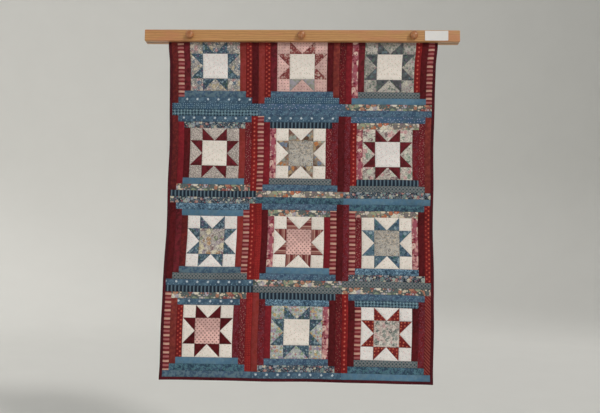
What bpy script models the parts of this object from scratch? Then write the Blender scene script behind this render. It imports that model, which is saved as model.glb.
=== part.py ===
"""Quilt on a rack: a pieced quilt held by a two-board wooden clamp that hangs on a wall.

Metres, +Z up. The wall is the plane y = 0, the rack stands out of it towards -Y, and +X is to
the right of someone who faces the quilt. The origin lies on the wall, midway along the rack,
at the height where the wall screws bear in the keyhole plates.
"""

from math import cos, pi, sin

import bmesh
import bpy
from mathutils import Matrix, Vector

# Clearances
GAP = 0.0003  # between pieces that touch
BOLT_CLEARANCE = 0.0005  # round each bolt, in the boards

# Boards of the clamp
RAIL_LENGTH = 1.2192
RAIL_HEIGHT = 0.0445
RAIL_THICKNESS = 0.019
FRONT_EDGE_RADIUS = 0.003
BACK_EDGE_RADIUS = 0.0012
SPACER_HEIGHT = 0.011
SPACER_SETBACK = 0.001  # below the boards' top
FELT_THICKNESS = 0.001
FELT_SETBACK = 0.001  # above the boards' bottom and in from their ends

# Carriage bolts
BOLT_INSET = 0.1778  # of the outer bolts, from the boards' ends
BOLT_DIAMETER = 0.00635
BOLT_TIP_CHAMFER = 0.0006
BOLT_HEAD_DIAMETER = 0.0151
BOLT_HEAD_HEIGHT = 0.0035
BOLT_HEAD_SINK = 0.001  # from the wall to the top of the head
BOLT_NECK_PROUD = 0.000125  # of the shank, on each of its four sides
BOLT_NECK_LENGTH = 0.005
BOLT_ENGAGEMENT = 0.010  # thread inside a knob

# Turned knobs
KNOB_DIAMETER = 0.032
KNOB_FOOT_DIAMETER = 0.027
KNOB_FOOT_HEIGHT = 0.003
KNOB_BELLY_HEIGHT = 0.009  # where it is widest
KNOB_HEIGHT = 0.020
INSERT_WALL = 0.0013
INSERT_LENGTH = 0.011
KNOB_BORE_SPARE = 0.001  # past the insert

# Keyhole plates and their screws
HANGER_INSET = 0.0762  # from the boards' ends
PLATE_WIDTH = 0.044
PLATE_HEIGHT = 0.023
PLATE_THICKNESS = 0.0015
PLATE_MARGIN = 0.0035  # of wood left above its recess
KEYHOLE_ENTRY_DIAMETER = 0.0095
KEYHOLE_SLOT_WIDTH = 0.0048
KEYHOLE_TRAVEL = 0.010  # from the entry's centre up to the slot's end
KEYHOLE_CAVITY_DEPTH = 0.0095
KEYHOLE_CAVITY_MARGIN = 0.0014  # round the entry
PLATE_SCREW_SPACING = 0.032
PLATE_SCREW_HEAD_DIAMETER = 0.0065
PLATE_SCREW_DIAMETER = 0.0035
PLATE_SCREW_CONE = 0.0018
PLATE_SCREW_LENGTH = 0.0125
PLATE_SCREW_POINT = 0.0025

# Label card on the front board
CARD_WIDTH = 0.089
CARD_HEIGHT = 0.038
CARD_THICKNESS = 0.0004
CARD_INSET = 0.046  # from the board's right end

# Quilt
COLUMNS = 3
ROWS = 4
STAR_PATCH = 0.0483
LOG_WIDTH = 0.0241
LOG_ROUNDS = 3
BINDING_WIDTH = 0.0105
TOP_THICKNESS = 0.0008
BATTING_THICKNESS = 0.0024
BACKING_THICKNESS = 0.0005
HEADING_THICKNESS = 0.004  # of both layers, pressed
HIDDEN_STAR = 0.004  # of the top row's stars, inside the clamp
HINGE_DROP = 0.005  # from the boards' bottom to where the fold opens and the quilt swings

# Places along the boards
BOLT_X = RAIL_LENGTH / 2 - BOLT_INSET
HANGER_X = RAIL_LENGTH / 2 - HANGER_INSET

# Heights
PLATE_MIDDLE = -KEYHOLE_TRAVEL / 2
RAIL_TOP = PLATE_MIDDLE + PLATE_HEIGHT / 2 + GAP + PLATE_MARGIN
RAIL_BOTTOM = RAIL_TOP - RAIL_HEIGHT
RAIL_MIDDLE = (RAIL_TOP + RAIL_BOTTOM) / 2
HEADING_TOP = RAIL_MIDDLE - BOLT_DIAMETER / 2 - BOLT_CLEARANCE - GAP
HINGE_HEIGHT = RAIL_BOTTOM - HINGE_DROP

# Depths, counted from the wall
CLAMP_OPENING = 2 * FELT_THICKNESS + HEADING_THICKNESS + 4 * GAP
FRONT_RAIL_BACK = RAIL_THICKNESS + CLAMP_OPENING
FRONT_FACE = FRONT_RAIL_BACK + RAIL_THICKNESS
HEADING_MIDDLE = RAIL_THICKNESS + CLAMP_OPENING / 2
LAYERS = TOP_THICKNESS + BATTING_THICKNESS + BACKING_THICKNESS + 2 * GAP
PANEL_MIDDLE = HEADING_MIDDLE + LAYERS / 2 + GAP
FLAP_MIDDLE = HEADING_MIDDLE - LAYERS / 2 - GAP

# Fasteners
BOLT_NECK_SIDE = BOLT_DIAMETER + 2 * BOLT_NECK_PROUD
INSERT_BORE = BOLT_DIAMETER + 2 * GAP
INSERT_DIAMETER = INSERT_BORE + 2 * INSERT_WALL

# Quilt sizes that follow
STAR = 4 * STAR_PATCH
LOGS = LOG_ROUNDS * LOG_WIDTH
BLOCK = STAR + 2 * LOGS
PIECED_WIDTH = COLUMNS * BLOCK
QUILT_WIDTH = PIECED_WIDTH + 2 * BINDING_WIDTH
TOP_ROW_BOTTOM = RAIL_BOTTOM + HIDDEN_STAR - STAR - LOGS
PIECED_BOTTOM = TOP_ROW_BOTTOM - (ROWS - 1) * BLOCK
QUILT_BOTTOM = PIECED_BOTTOM - BINDING_WIDTH
HEADING_LENGTH = 2 * (HEADING_TOP - RAIL_BOTTOM) + pi * HEADING_THICKNESS / 4
FLAP_LENGTH = LOGS + HIDDEN_STAR + BINDING_WIDTH - HEADING_LENGTH

SIDES = {"left": -1, "middle": 0, "right": 1}
ROUND_STEPS = 24
SMALL_STEPS = 16

# Colours
LIGHT_WOOD = (0.46, 0.25, 0.12)
KNOB_WOOD = (0.36, 0.16, 0.065)
STEEL = (0.55, 0.56, 0.58)
BRASS = (0.72, 0.52, 0.22)
GREY_FELT = (0.55, 0.53, 0.49)
CARD_WHITE = (0.85, 0.85, 0.83)
BURGUNDY = (0.17, 0.02, 0.035)
BACKING_CREAM = (0.72, 0.64, 0.52)
BATTING_WHITE = (0.85, 0.84, 0.80)
STAR_COLOURS = (
    ((0.16, 0.22, 0.34), (0.30, 0.07, 0.11), (0.13, 0.19, 0.26)),
    ((0.22, 0.03, 0.06), (0.30, 0.34, 0.33), (0.24, 0.03, 0.05)),
    ((0.14, 0.21, 0.36), (0.46, 0.20, 0.16), (0.13, 0.22, 0.38)),
    ((0.16, 0.02, 0.05), (0.15, 0.20, 0.31), (0.38, 0.03, 0.03)),
)


def clear_scene():
    for obj in list(bpy.data.objects):
        bpy.data.objects.remove(obj, do_unlink=True)


def new_collection(name):
    collection = bpy.data.collections.new(name)
    bpy.context.scene.collection.children.link(collection)
    return collection


def new_material(name, colour, roughness, metallic=0.0):
    material = bpy.data.materials.new(name)
    material.use_nodes = True
    shader = material.node_tree.nodes["Principled BSDF"]
    shader.inputs["Base Color"].default_value = (*colour, 1)
    shader.inputs["Roughness"].default_value = roughness
    shader.inputs["Metallic"].default_value = metallic
    material.diffuse_color = (*colour, 1)
    return material


def place(name, mesh, at, parent=None, finish=None, collection=None):
    """An object with its origin at a world point, under an empty where one is given."""
    obj = bpy.data.objects.new(name, mesh)
    collection = collection or PARTS
    collection.objects.link(obj)
    obj.location = Vector(at) - (parent.location if parent else Vector())
    obj.parent = parent
    if finish:
        mesh.materials.append(finish)
    if collection is CUTTERS:
        obj.hide_render = True
        obj.display_type = "WIRE"
    return obj


def joint_empty(name, at):
    empty = bpy.data.objects.new(name, None)
    empty.empty_display_size = 0.03
    empty.location = at
    PARTS.objects.link(empty)
    return empty


def slab(name, x, depth, z, **placing):
    """A box between two x, two depths from the wall and two heights."""
    low = Vector((min(x), -max(depth), min(z)))
    high = Vector((max(x), -min(depth), max(z)))
    mesh = bpy.data.meshes.new(name)
    form = bmesh.new()
    bmesh.ops.create_cube(form, size=1, matrix=Matrix.Diagonal((*(high - low), 1)))
    form.to_mesh(mesh)
    form.free()
    return place(name, mesh, (low + high) / 2, **placing)


def turned(name, profile, at, steps=ROUND_STEPS, towards_wall=False, ring=False, **placing):
    """A profile of (radius, height) turned about the axis that leaves the wall."""
    mesh = bpy.data.meshes.new(name)
    count = len(profile)
    edges = [(i, i + 1) for i in range(count - 1)]
    if ring:
        edges.append((count - 1, 0))
    mesh.from_pydata([(radius, 0, height) for radius, height in profile], edges, [])
    obj = place(name, mesh, at, **placing)
    obj.rotation_euler.x = -pi / 2 if towards_wall else pi / 2
    screw = obj.modifiers.new("Turned", "SCREW")
    screw.axis = "Z"
    screw.steps = steps
    screw.render_steps = steps
    screw.use_merge_vertices = True
    screw.merge_threshold = 0.00002
    return obj


def rounded(obj, radius, segments=3):
    bevel = obj.modifiers.new("Rounded edges", "BEVEL")
    bevel.width = radius
    bevel.segments = segments
    bevel.limit_method = "ANGLE"


def combine(obj, other, operation="DIFFERENCE"):
    boolean = obj.modifiers.new(other.name, "BOOLEAN")
    boolean.operation = operation
    boolean.object = other


def arc(radius, height, start, end, count):
    """Points of a quarter oval about the axis, from one angle to another."""
    angles = [start + (end - start) * i / count for i in range(count + 1)]
    return [(radius * cos(angle), height * sin(angle)) for angle in angles]


def cylinder_profile(radius, low, high):
    return [(0, high), (radius, high), (radius, low), (0, low)]


def bolt_cutters(side, x):
    """The stepped hole for a bolt and the square seat of its neck, through the back board."""
    sunk = BOLT_HEAD_SINK + BOLT_HEAD_HEIGHT
    hole_radius = BOLT_DIAMETER / 2 + BOLT_CLEARANCE
    head_radius = BOLT_HEAD_DIAMETER / 2 + BOLT_CLEARANCE
    beyond = FRONT_FACE + BOLT_ENGAGEMENT
    profile = [(0, beyond), (hole_radius, beyond), (hole_radius, sunk + GAP)]
    profile += [(head_radius, sunk + GAP), (head_radius, -BOLT_ENGAGEMENT), (0, -BOLT_ENGAGEMENT)]
    hole = turned(f"cut_bolt_{side}", profile, (x, 0, RAIL_MIDDLE), collection=CUTTERS)
    half = BOLT_NECK_SIDE / 2 + GAP
    seat = slab(
        f"cut_neck_{side}",
        (x - half, x + half),
        (BOLT_HEAD_SINK, sunk + BOLT_NECK_LENGTH + GAP),
        (RAIL_MIDDLE - half, RAIL_MIDDLE + half),
        collection=CUTTERS,
    )
    return hole, seat


def keyhole_cutters(side, x):
    """The slot and entry of a keyhole plate, cut through its thickness."""
    through = (-PLATE_THICKNESS, 2 * PLATE_THICKNESS)
    half = KEYHOLE_SLOT_WIDTH / 2
    entry_profile = cylinder_profile(KEYHOLE_ENTRY_DIAMETER / 2, *through)
    end_profile = cylinder_profile(half, *through)
    entry = turned(f"cut_entry_{side}", entry_profile, (x, 0, -KEYHOLE_TRAVEL), collection=CUTTERS)
    end = turned(f"cut_slot_end_{side}", end_profile, (x, 0, 0), SMALL_STEPS, collection=CUTTERS)
    slot = slab(
        f"cut_slot_{side}", (x - half, x + half), through, (-KEYHOLE_TRAVEL, 0), collection=CUTTERS
    )
    return entry, end, slot


def plate_recess_cutters(side, x):
    """The shallow recess for a keyhole plate and the cavity for the wall screw's head."""
    reach = PLATE_WIDTH / 2 + GAP
    middle = PLATE_MIDDLE
    rise = PLATE_HEIGHT / 2 + GAP
    outside = -PLATE_THICKNESS
    recess = slab(
        f"cut_recess_{side}",
        (x - reach, x + reach),
        (outside, PLATE_THICKNESS + GAP),
        (middle - rise, middle + rise),
        collection=CUTTERS,
    )
    half = KEYHOLE_ENTRY_DIAMETER / 2 + KEYHOLE_CAVITY_MARGIN
    cavity = slab(
        f"cut_cavity_{side}",
        (x - half, x + half),
        (outside, KEYHOLE_CAVITY_DEPTH),
        (-KEYHOLE_TRAVEL - half, half),
        collection=CUTTERS,
    )
    return recess, cavity


def screw_profile(spare=0.0):
    """A countersunk screw, head up, made larger all over by the spare."""
    head = PLATE_SCREW_HEAD_DIAMETER / 2 + spare
    shank = PLATE_SCREW_DIAMETER / 2 + spare
    top = spare and PLATE_THICKNESS
    cone = -PLATE_SCREW_CONE - spare
    end = -PLATE_SCREW_LENGTH - spare
    point = end + PLATE_SCREW_POINT
    return [(0, top), (head, top), (head, -spare), (shank, cone), (shank, point), (0, end)]


def plate_screw_places(x):
    """Where the two screws of the plate at x go, with the end each one is at."""
    return {
        "inner": x - PLATE_SCREW_SPACING / 2 * (1 if x > 0 else -1),
        "outer": x + PLATE_SCREW_SPACING / 2 * (1 if x > 0 else -1),
    }


def hangers(wood, steel):
    """Cuts the recesses in the back board, and makes the keyhole plates and their screws."""
    for side in ("left", "right"):
        x = SIDES[side] * HANGER_X
        for cutter in plate_recess_cutters(side, x):
            combine(wood, cutter)
        rise = PLATE_HEIGHT / 2
        plate = slab(
            f"hanger_plate_{side}",
            (x - PLATE_WIDTH / 2, x + PLATE_WIDTH / 2),
            (0, PLATE_THICKNESS),
            (PLATE_MIDDLE - rise, PLATE_MIDDLE + rise),
            finish=steel,
        )
        for cutter in keyhole_cutters(side, x):
            combine(plate, cutter)
        for end, place_x in plate_screw_places(x).items():
            at = (place_x, 0, PLATE_MIDDLE)
            profile = screw_profile(GAP)
            hole = turned(f"cut_screw_{side}_{end}", profile, at, SMALL_STEPS, True, collection=CUTTERS)
            combine(plate, hole)
            combine(wood, hole)
            turned(f"plate_screw_{side}_{end}", screw_profile(), at, SMALL_STEPS, True, finish=steel)


def carriage_bolt(side, x, steel):
    """A round-headed bolt with a square neck, its head sunk in the back board."""
    sunk = BOLT_HEAD_SINK + BOLT_HEAD_HEIGHT
    length = FRONT_FACE - sunk + BOLT_ENGAGEMENT
    radius = BOLT_DIAMETER / 2
    profile = [(0, length), (radius - BOLT_TIP_CHAMFER, length), (radius, length - BOLT_TIP_CHAMFER)]
    profile += [(radius, 0)]
    profile += arc(BOLT_HEAD_DIAMETER / 2, -BOLT_HEAD_HEIGHT, 0, pi / 2, 5)[:-1]
    profile += [(0, -BOLT_HEAD_HEIGHT)]
    bolt = turned(f"clamp_bolt_{side}", profile, (x, -sunk, RAIL_MIDDLE), finish=steel)
    half = BOLT_NECK_SIDE / 2
    neck = slab(
        f"join_neck_{side}",
        (x - half, x + half),
        (sunk - GAP, sunk + BOLT_NECK_LENGTH),
        (RAIL_MIDDLE - half, RAIL_MIDDLE + half),
        collection=CUTTERS,
    )
    combine(bolt, neck, "UNION")


def knob_profile():
    """A domed knob from its crown down to its foot, then up the blind bore for the insert."""
    widest = KNOB_DIAMETER / 2
    foot = KNOB_FOOT_DIAMETER / 2
    dome = arc(widest, KNOB_HEIGHT - KNOB_BELLY_HEIGHT, pi / 2, 0, 8)
    profile = [(0, KNOB_HEIGHT)]
    profile += [(radius, KNOB_BELLY_HEIGHT + height) for radius, height in dome[1:]]
    under = arc(widest - foot, KNOB_BELLY_HEIGHT - KNOB_FOOT_HEIGHT, 0, -pi / 2, 4)
    profile += [(foot + radius, KNOB_BELLY_HEIGHT + height) for radius, height in under[1:]]
    bore = INSERT_DIAMETER / 2 + GAP
    depth = INSERT_LENGTH + KNOB_BORE_SPARE
    return profile + [(foot, 0), (bore, 0), (bore, depth), (0, depth)]


def knob(side, x, wood, brass):
    """A turned knob with its threaded insert, on an empty that lies on its axis."""
    axis = joint_empty(f"knob_axis_{side}", (x, -FRONT_FACE, RAIL_MIDDLE))
    at = (x, -FRONT_FACE - GAP, RAIL_MIDDLE)
    shape = turned(f"knob_{side}", knob_profile(), at, 32, finish=wood, parent=axis)
    shape.data.shade_smooth()
    outer = INSERT_DIAMETER / 2
    inner = INSERT_BORE / 2
    profile = [(outer, INSERT_LENGTH), (outer, 0), (inner, 0), (inner, INSERT_LENGTH)]
    turned(f"knob_insert_{side}", profile, at, ring=True, finish=brass, parent=axis)


def rack():
    """The two boards, what is between them, and the fasteners."""
    wood = new_material("light wood", LIGHT_WOOD, 0.45)
    steel = new_material("zinc steel", STEEL, 0.35, 1)
    felt = new_material("felt", GREY_FELT, 0.95)
    across = (-RAIL_LENGTH / 2, RAIL_LENGTH / 2)
    upright = (RAIL_BOTTOM, RAIL_TOP)
    back = slab("back_rail", across, (0, RAIL_THICKNESS), upright, finish=wood)
    rounded(back, BACK_EDGE_RADIUS, 2)
    slide = joint_empty("front_rail_slide", (0, -FRONT_RAIL_BACK, RAIL_MIDDLE))
    front = slab(
        "front_rail",
        across,
        (FRONT_RAIL_BACK, FRONT_FACE),
        upright,
        parent=slide,
        finish=new_material("front wood", LIGHT_WOOD, 0.42),
    )
    rounded(front, FRONT_EDGE_RADIUS)
    spacer_top = RAIL_TOP - SPACER_SETBACK
    slab(
        "top_spacer",
        across,
        (RAIL_THICKNESS + GAP, FRONT_RAIL_BACK - GAP),
        (spacer_top - SPACER_HEIGHT, spacer_top),
        finish=new_material("spacer wood", LIGHT_WOOD, 0.5),
    )
    felt_across = (across[0] + FELT_SETBACK, across[1] - FELT_SETBACK)
    felt_upright = (RAIL_BOTTOM + FELT_SETBACK, HEADING_TOP)
    on_back = RAIL_THICKNESS + GAP
    on_front = FRONT_RAIL_BACK - GAP
    slab("back_felt", felt_across, (on_back, on_back + FELT_THICKNESS), felt_upright, finish=felt)
    slab(
        "front_felt",
        felt_across,
        (on_front - FELT_THICKNESS, on_front),
        felt_upright,
        parent=slide,
        finish=new_material("front felt", GREY_FELT, 0.95),
    )
    knob_wood = new_material("knob wood", KNOB_WOOD, 0.35)
    brass = new_material("brass", BRASS, 0.3, 1)
    for side, sign in SIDES.items():
        x = sign * BOLT_X
        hole, seat = bolt_cutters(side, x)
        combine(back, hole)
        combine(back, seat)
        combine(front, hole)
        carriage_bolt(side, x, steel)
        knob(side, x, knob_wood, brass)
    hangers(back, steel)
    card_right = RAIL_LENGTH / 2 - CARD_INSET
    slab(
        "label_card",
        (card_right - CARD_WIDTH, card_right),
        (FRONT_FACE + GAP, FRONT_FACE + GAP + CARD_THICKNESS),
        (RAIL_MIDDLE - CARD_HEIGHT / 2, RAIL_MIDDLE + CARD_HEIGHT / 2),
        parent=slide,
        finish=new_material("card", CARD_WHITE, 0.6),
    )


def layer(middle, start, thickness):
    """The two depths of one layer, which starts a distance out from its quilt's back face."""
    back = middle - LAYERS / 2 + start
    return back, back + thickness


def clamped_heading(cotton):
    """The fold between the boards, the flap turned down behind, and the flap's binding."""
    half = HEADING_THICKNESS / 2
    across = (-QUILT_WIDTH / 2, QUILT_WIDTH / 2)
    slab(
        "folded_heading",
        across,
        (HEADING_MIDDLE - half, HEADING_MIDDLE + half),
        (HINGE_HEIGHT + GAP, HEADING_TOP),
        finish=cotton,
    )
    flap_bottom = RAIL_BOTTOM - FLAP_LENGTH
    depth = layer(FLAP_MIDDLE, 0, LAYERS)
    slab(
        "turned_back_flap",
        across,
        depth,
        (flap_bottom + BINDING_WIDTH + GAP, HINGE_HEIGHT),
        finish=new_material("flap cotton", (0.20, 0.24, 0.33), 0.9),
    )
    slab(
        "binding_top",
        across,
        depth,
        (flap_bottom, flap_bottom + BINDING_WIDTH),
        finish=new_material("top binding", BURGUNDY, 0.9),
    )


def hanging_layers(hinge):
    """Backing and batting of the hanging part, inside the binding."""
    across = (-PIECED_WIDTH / 2 + GAP, PIECED_WIDTH / 2 - GAP)
    upright = (PIECED_BOTTOM + GAP, HINGE_HEIGHT)
    slab(
        "backing",
        across,
        layer(PANEL_MIDDLE, 0, BACKING_THICKNESS),
        upright,
        parent=hinge,
        finish=new_material("backing cotton", BACKING_CREAM, 0.9),
    )
    slab(
        "batting",
        across,
        layer(PANEL_MIDDLE, BACKING_THICKNESS + GAP, BATTING_THICKNESS),
        upright,
        parent=hinge,
        finish=new_material("batting cotton", BATTING_WHITE, 1.0),
    )


def star_blocks(hinge):
    """The pieced top as one block a star. The top row's blocks start at the clamp."""
    depth = layer(PANEL_MIDDLE, LAYERS - TOP_THICKNESS, TOP_THICKNESS)
    for row, colours in enumerate(STAR_COLOURS[:ROWS]):
        bottom = TOP_ROW_BOTTOM - row * BLOCK
        top = bottom + BLOCK if row else HINGE_HEIGHT
        for column, colour in enumerate(colours[:COLUMNS]):
            left = -PIECED_WIDTH / 2 + column * BLOCK
            name = f"block_r{row + 1}c{column + 1}"
            slab(
                name,
                (left + GAP / 2, left + BLOCK - GAP / 2),
                depth,
                (bottom + GAP / 2, top - GAP / 2),
                parent=hinge,
                finish=new_material(f"{name} cotton", colour, 0.9),
            )


def bindings(hinge):
    """Folded strips that close the sides and the bottom of the hanging part."""
    depth = layer(PANEL_MIDDLE, 0, LAYERS)
    finish = new_material("binding", BURGUNDY, 0.9)
    edge = QUILT_WIDTH / 2
    inner = edge - BINDING_WIDTH
    for side in ("left", "right"):
        x = [SIDES[side] * inner, SIDES[side] * edge]
        slab(f"binding_{side}", x, depth, (PIECED_BOTTOM, HINGE_HEIGHT), parent=hinge, finish=finish)
    upright = (QUILT_BOTTOM, PIECED_BOTTOM - GAP)
    slab("binding_bottom", (-edge, edge), depth, upright, parent=hinge, finish=finish)


def quilt():
    clamped_heading(new_material("heading cotton", (0.22, 0.27, 0.36), 0.9))
    hinge = joint_empty("quilt_swing", (0, -PANEL_MIDDLE, HINGE_HEIGHT))
    hanging_layers(hinge)
    star_blocks(hinge)
    bindings(hinge)


clear_scene()
PARTS = new_collection("quilt_on_rack")
CUTTERS = new_collection("cutters")
rack()
quilt()
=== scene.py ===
"""Looks of the quilt on a rack: wooden clamp, knobs, hangers, and the pieced quilt hung in it.

Metres, +Z up. The wall is the plane y = 0 and the rack stands out of it towards -Y. Every place
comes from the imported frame. The quilt is worked out on its flat cut first: u runs across it, and
t runs up it from the hinge line just under the clamp, through the clamp, over the fold and down
the flap behind. One function then gives the hung place of any point of that cut.
"""

from math import cos, pi, radians, sin

import bmesh
import bpy
import numpy as np
from mathutils import Matrix, Vector


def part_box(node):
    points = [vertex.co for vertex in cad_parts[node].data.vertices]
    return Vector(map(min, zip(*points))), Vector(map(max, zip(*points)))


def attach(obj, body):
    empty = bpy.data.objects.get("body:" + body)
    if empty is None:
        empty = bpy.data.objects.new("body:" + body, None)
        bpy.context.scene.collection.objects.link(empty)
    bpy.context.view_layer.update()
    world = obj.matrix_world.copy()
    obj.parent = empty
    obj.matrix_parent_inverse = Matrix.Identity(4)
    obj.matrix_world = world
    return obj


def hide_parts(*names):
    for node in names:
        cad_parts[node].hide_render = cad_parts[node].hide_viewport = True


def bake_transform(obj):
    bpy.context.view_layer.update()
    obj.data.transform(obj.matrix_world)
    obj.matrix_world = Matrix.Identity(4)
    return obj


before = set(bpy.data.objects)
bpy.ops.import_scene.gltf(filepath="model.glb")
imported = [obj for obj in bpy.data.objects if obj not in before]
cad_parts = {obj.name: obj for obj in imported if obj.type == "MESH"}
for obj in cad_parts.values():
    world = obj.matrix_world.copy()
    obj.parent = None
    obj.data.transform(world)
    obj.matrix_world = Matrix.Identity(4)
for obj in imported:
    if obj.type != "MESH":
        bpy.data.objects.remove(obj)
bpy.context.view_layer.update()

# Patchwork: a star of 4 x 4 patches and three rounds of logs, all on a grid of log widths
COLUMNS = 3
ROWS = 4
LOG_ROUNDS = 3
GRID = 14  # log widths across a block
PATCH = 2  # log widths across a patch of a star
STAR_HALF = 4  # log widths from a block's middle to the star's edge
SEAM_GAP = 0.0003  # that the CAD blocks leave between them
STEPS = 14  # mesh steps in a log width
BACK_STEPS = 6

# Sandwich of top, batting and backing
TOP_AT_STITCH = 0.0011  # from the middle surface to the top, where it is quilted down
BACK_AT_STITCH = 0.0009
PRESSED_HALF = 0.00092  # of one layer, inside the clamp
TOP_PUFF = 0.0029
BACK_PUFF = 0.0022
PUFF_REACH = 0.0115  # from a quilted seam to the full puff
PUCKER = 0.00048
PUCKER_REACH = 0.008
PUCKER_PITCH = 0.0096
BINDING_HALF = 0.0024
BATTING_HALF = 0.0006

# Hang
SHIFT = 0.0045  # of the quilt along the clamp
LEAN = -0.0104  # sideways, a metre of drop
GIVE = 1.005  # lengthening under its own weight
WAVE_START = 0.34  # drop at which the folds are at full depth
FLARE = 0.0062  # that the clamp holds each side out, at its edge
WAIST = 0.0045  # that each side is drawn in below the top row, and again at the very edge

# Places read from the frame
side_low, side_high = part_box("binding_left")
block_low, block_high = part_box("block_r2c1")
head_low, head_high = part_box("folded_heading")
flap_low, flap_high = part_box("turned_back_flap")
rail_low, rail_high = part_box("front_rail")
HINGE = side_high.z
PANEL_Y = (side_low.y + side_high.y) / 2
BLOCK = block_high.x - block_low.x + SEAM_GAP
LOG = BLOCK / GRID
BINDING = side_high.x - side_low.x
PIECED_HALF = COLUMNS * BLOCK / 2
EDGE = PIECED_HALF + BINDING
TOP_ROW_DROP = HINGE - (block_high.z + SEAM_GAP / 2)
PIECED_DROP = TOP_ROW_DROP + (ROWS - 1) * BLOCK
TOP_RUN = BLOCK - TOP_ROW_DROP  # pieced cloth above the hinge
FLAP_Y = (flap_low.y + flap_high.y) / 2
FLAP_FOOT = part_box("binding_top")[0].z
HEAD_Y = (head_low.y + head_high.y) / 2
HEAD_TOP = head_high.z
CLAMP_FOOT = rail_low.z


def smooth(x):
    x = np.clip(x, 0, 1)
    return x * x * (3 - 2 * x)


def tone(code):
    """Linear colour of a six-digit sRGB code."""
    parts = [int(code[i : i + 2], 16) / 255 for i in (0, 2, 4)]
    return (*[p / 12.92 if p <= 0.04045 else ((p + 0.055) / 1.055) ** 2.4 for p in parts], 1)


# --------------------------------------------------------------------------- materials


class Look:
    """A material while its nodes are laid out."""

    def __init__(self, name, roughness, metallic=0.0, **more):
        self.material = bpy.data.materials.new(name)
        self.material.use_nodes = True
        self.tree = self.material.node_tree
        self.shader = self.tree.nodes["Principled BSDF"]
        for key, value in {"Metallic": metallic, "Roughness": roughness, **more}.items():
            self.shader.inputs[key.replace("_", " ")].default_value = value

    def node(self, kind, inputs=None, **settings):
        made = self.tree.nodes.new("ShaderNode" + kind)
        for key, value in settings.items():
            setattr(made, key, value)
        for key, value in (inputs or {}).items():
            self.put(made.inputs[key], value)
        return made

    def put(self, socket, value):
        if isinstance(value, bpy.types.NodeSocket):
            self.tree.links.new(value, socket)
        else:
            socket.default_value = value

    def math(self, operation, a, b=0.0):
        return self.node("Math", {0: a, 1: b}, operation=operation).outputs[0]

    def add(self, a, b):
        return self.math("ADD", a, b)

    def sub(self, a, b):
        return self.math("SUBTRACT", a, b)

    def mul(self, a, b):
        return self.math("MULTIPLY", a, b)

    def off(self, a, b):
        """How far a number is from another."""
        return self.math("ABSOLUTE", self.sub(a, b))

    def turn(self, a, period):
        """Place of a number in its period, 0 to 1."""
        return self.math("FRACT", self.math("DIVIDE", a, period))

    def vector(self, operation, a, b):
        return self.node("VectorMath", {0: a, 1: b}, operation=operation).outputs[0]

    def stretch(self, a, factors):
        return self.vector("MULTIPLY", a, factors)

    def length(self, a):
        return self.node("VectorMath", {0: a}, operation="LENGTH").outputs["Value"]

    def parts(self, a):
        return self.node("SeparateXYZ", {0: a}).outputs

    def place(self):
        return self.node("TexCoord").outputs["Object"]

    def map(self, name):
        return self.node("UVMap", uv_map=name).outputs[0]

    def mix(self, factor, a, b, mode="MIX"):
        return self.node("Mix", {0: factor, 6: a, 7: b}, data_type="RGBA", blend_type=mode).outputs[2]

    def shade(self, colour, amount):
        """A colour times a number."""
        grey = self.node("CombineColor", {0: amount, 1: amount, 2: amount}).outputs[0]
        return self.mix(1.0, colour, grey, "MULTIPLY")

    def step(self, value, low, high, at_low=0.0, at_high=1.0):
        """Eases from one value to another while the input goes from low to high."""
        inputs = {"Value": value, "From Min": low, "From Max": high}
        inputs.update({"To Min": at_low, "To Max": at_high})
        return self.node("MapRange", inputs, interpolation_type="SMOOTHSTEP").outputs[0]

    def ramp(self, value, stops, interpolation="LINEAR"):
        made = self.node("ValToRGB", {0: value})
        made.color_ramp.interpolation = interpolation
        elements = made.color_ramp.elements
        while len(elements) < len(stops):
            elements.new(1.0)
        for element, (place, _) in zip(elements, stops):
            element.position = place
        for element, (_, colour) in zip(elements, stops):
            element.color = colour
        return made.outputs[0]

    def noise(self, vector, scale, detail=2.0, roughness=0.5, distortion=0.0):
        inputs = {"Vector": vector, "Scale": scale, "Detail": detail}
        inputs.update({"Roughness": roughness, "Distortion": distortion})
        return self.node("TexNoise", inputs).outputs["Fac"]

    def bump(self, height, distance, strength=1.0, under=None):
        inputs = {"Height": height, "Distance": distance, "Strength": strength}
        if under is not None:
            inputs["Normal"] = under
        return self.node("Bump", inputs).outputs[0]

    def finish(self, colour, normal=None, roughness=None):
        self.put(self.shader.inputs["Base Color"], colour)
        if normal is not None:
            self.put(self.shader.inputs["Normal"], normal)
        if roughness is not None:
            self.put(self.shader.inputs["Roughness"], roughness)
        return self.material


THREAD = 0.0005  # yarn pitch of the cottons
STITCH_PITCH = 0.0046
MOTTLE = 0.10  # unevenness of the dye


def weave_height(look, cloth):
    """Plain weave: yarns over and under, with slubs."""
    across, along, _ = look.parts(look.stretch(cloth, (2 * pi / THREAD,) * 3))
    yarns = look.mul(look.math("SINE", across), look.math("SINE", along))
    return look.add(look.mul(yarns, 0.5), look.noise(cloth, 900, 2))


def lattice(look, cloth, pitch, jitter, offset):
    """Vector from the nearest mark, its distance, and a random colour of that mark."""
    scaled = look.vector("DIVIDE", look.vector("SUBTRACT", cloth, (*offset, 0)), (*pitch, 1))
    inputs = {"Vector": scaled, "Scale": 1.0, "Randomness": jitter}
    marks = look.node("TexVoronoi", inputs, voronoi_dimensions="2D")
    local = look.stretch(look.vector("SUBTRACT", scaled, marks.outputs["Position"]), (*pitch, 0))
    return local, look.length(local), marks.outputs["Color"]


# Prints: each takes the look, the cloth's map and the colour so far, then its own numbers


def dots(look, cloth, ground, colour, pitch, radius, jitter=0.0, offset=(0, 0)):
    """Round spots on a grid, scattered as far as the jitter says."""
    _, distance, _ = lattice(look, cloth, pitch, jitter, offset)
    return look.mix(look.step(distance, radius * 0.6, radius * 1.25, 1, 0), ground, tone(colour))


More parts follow.
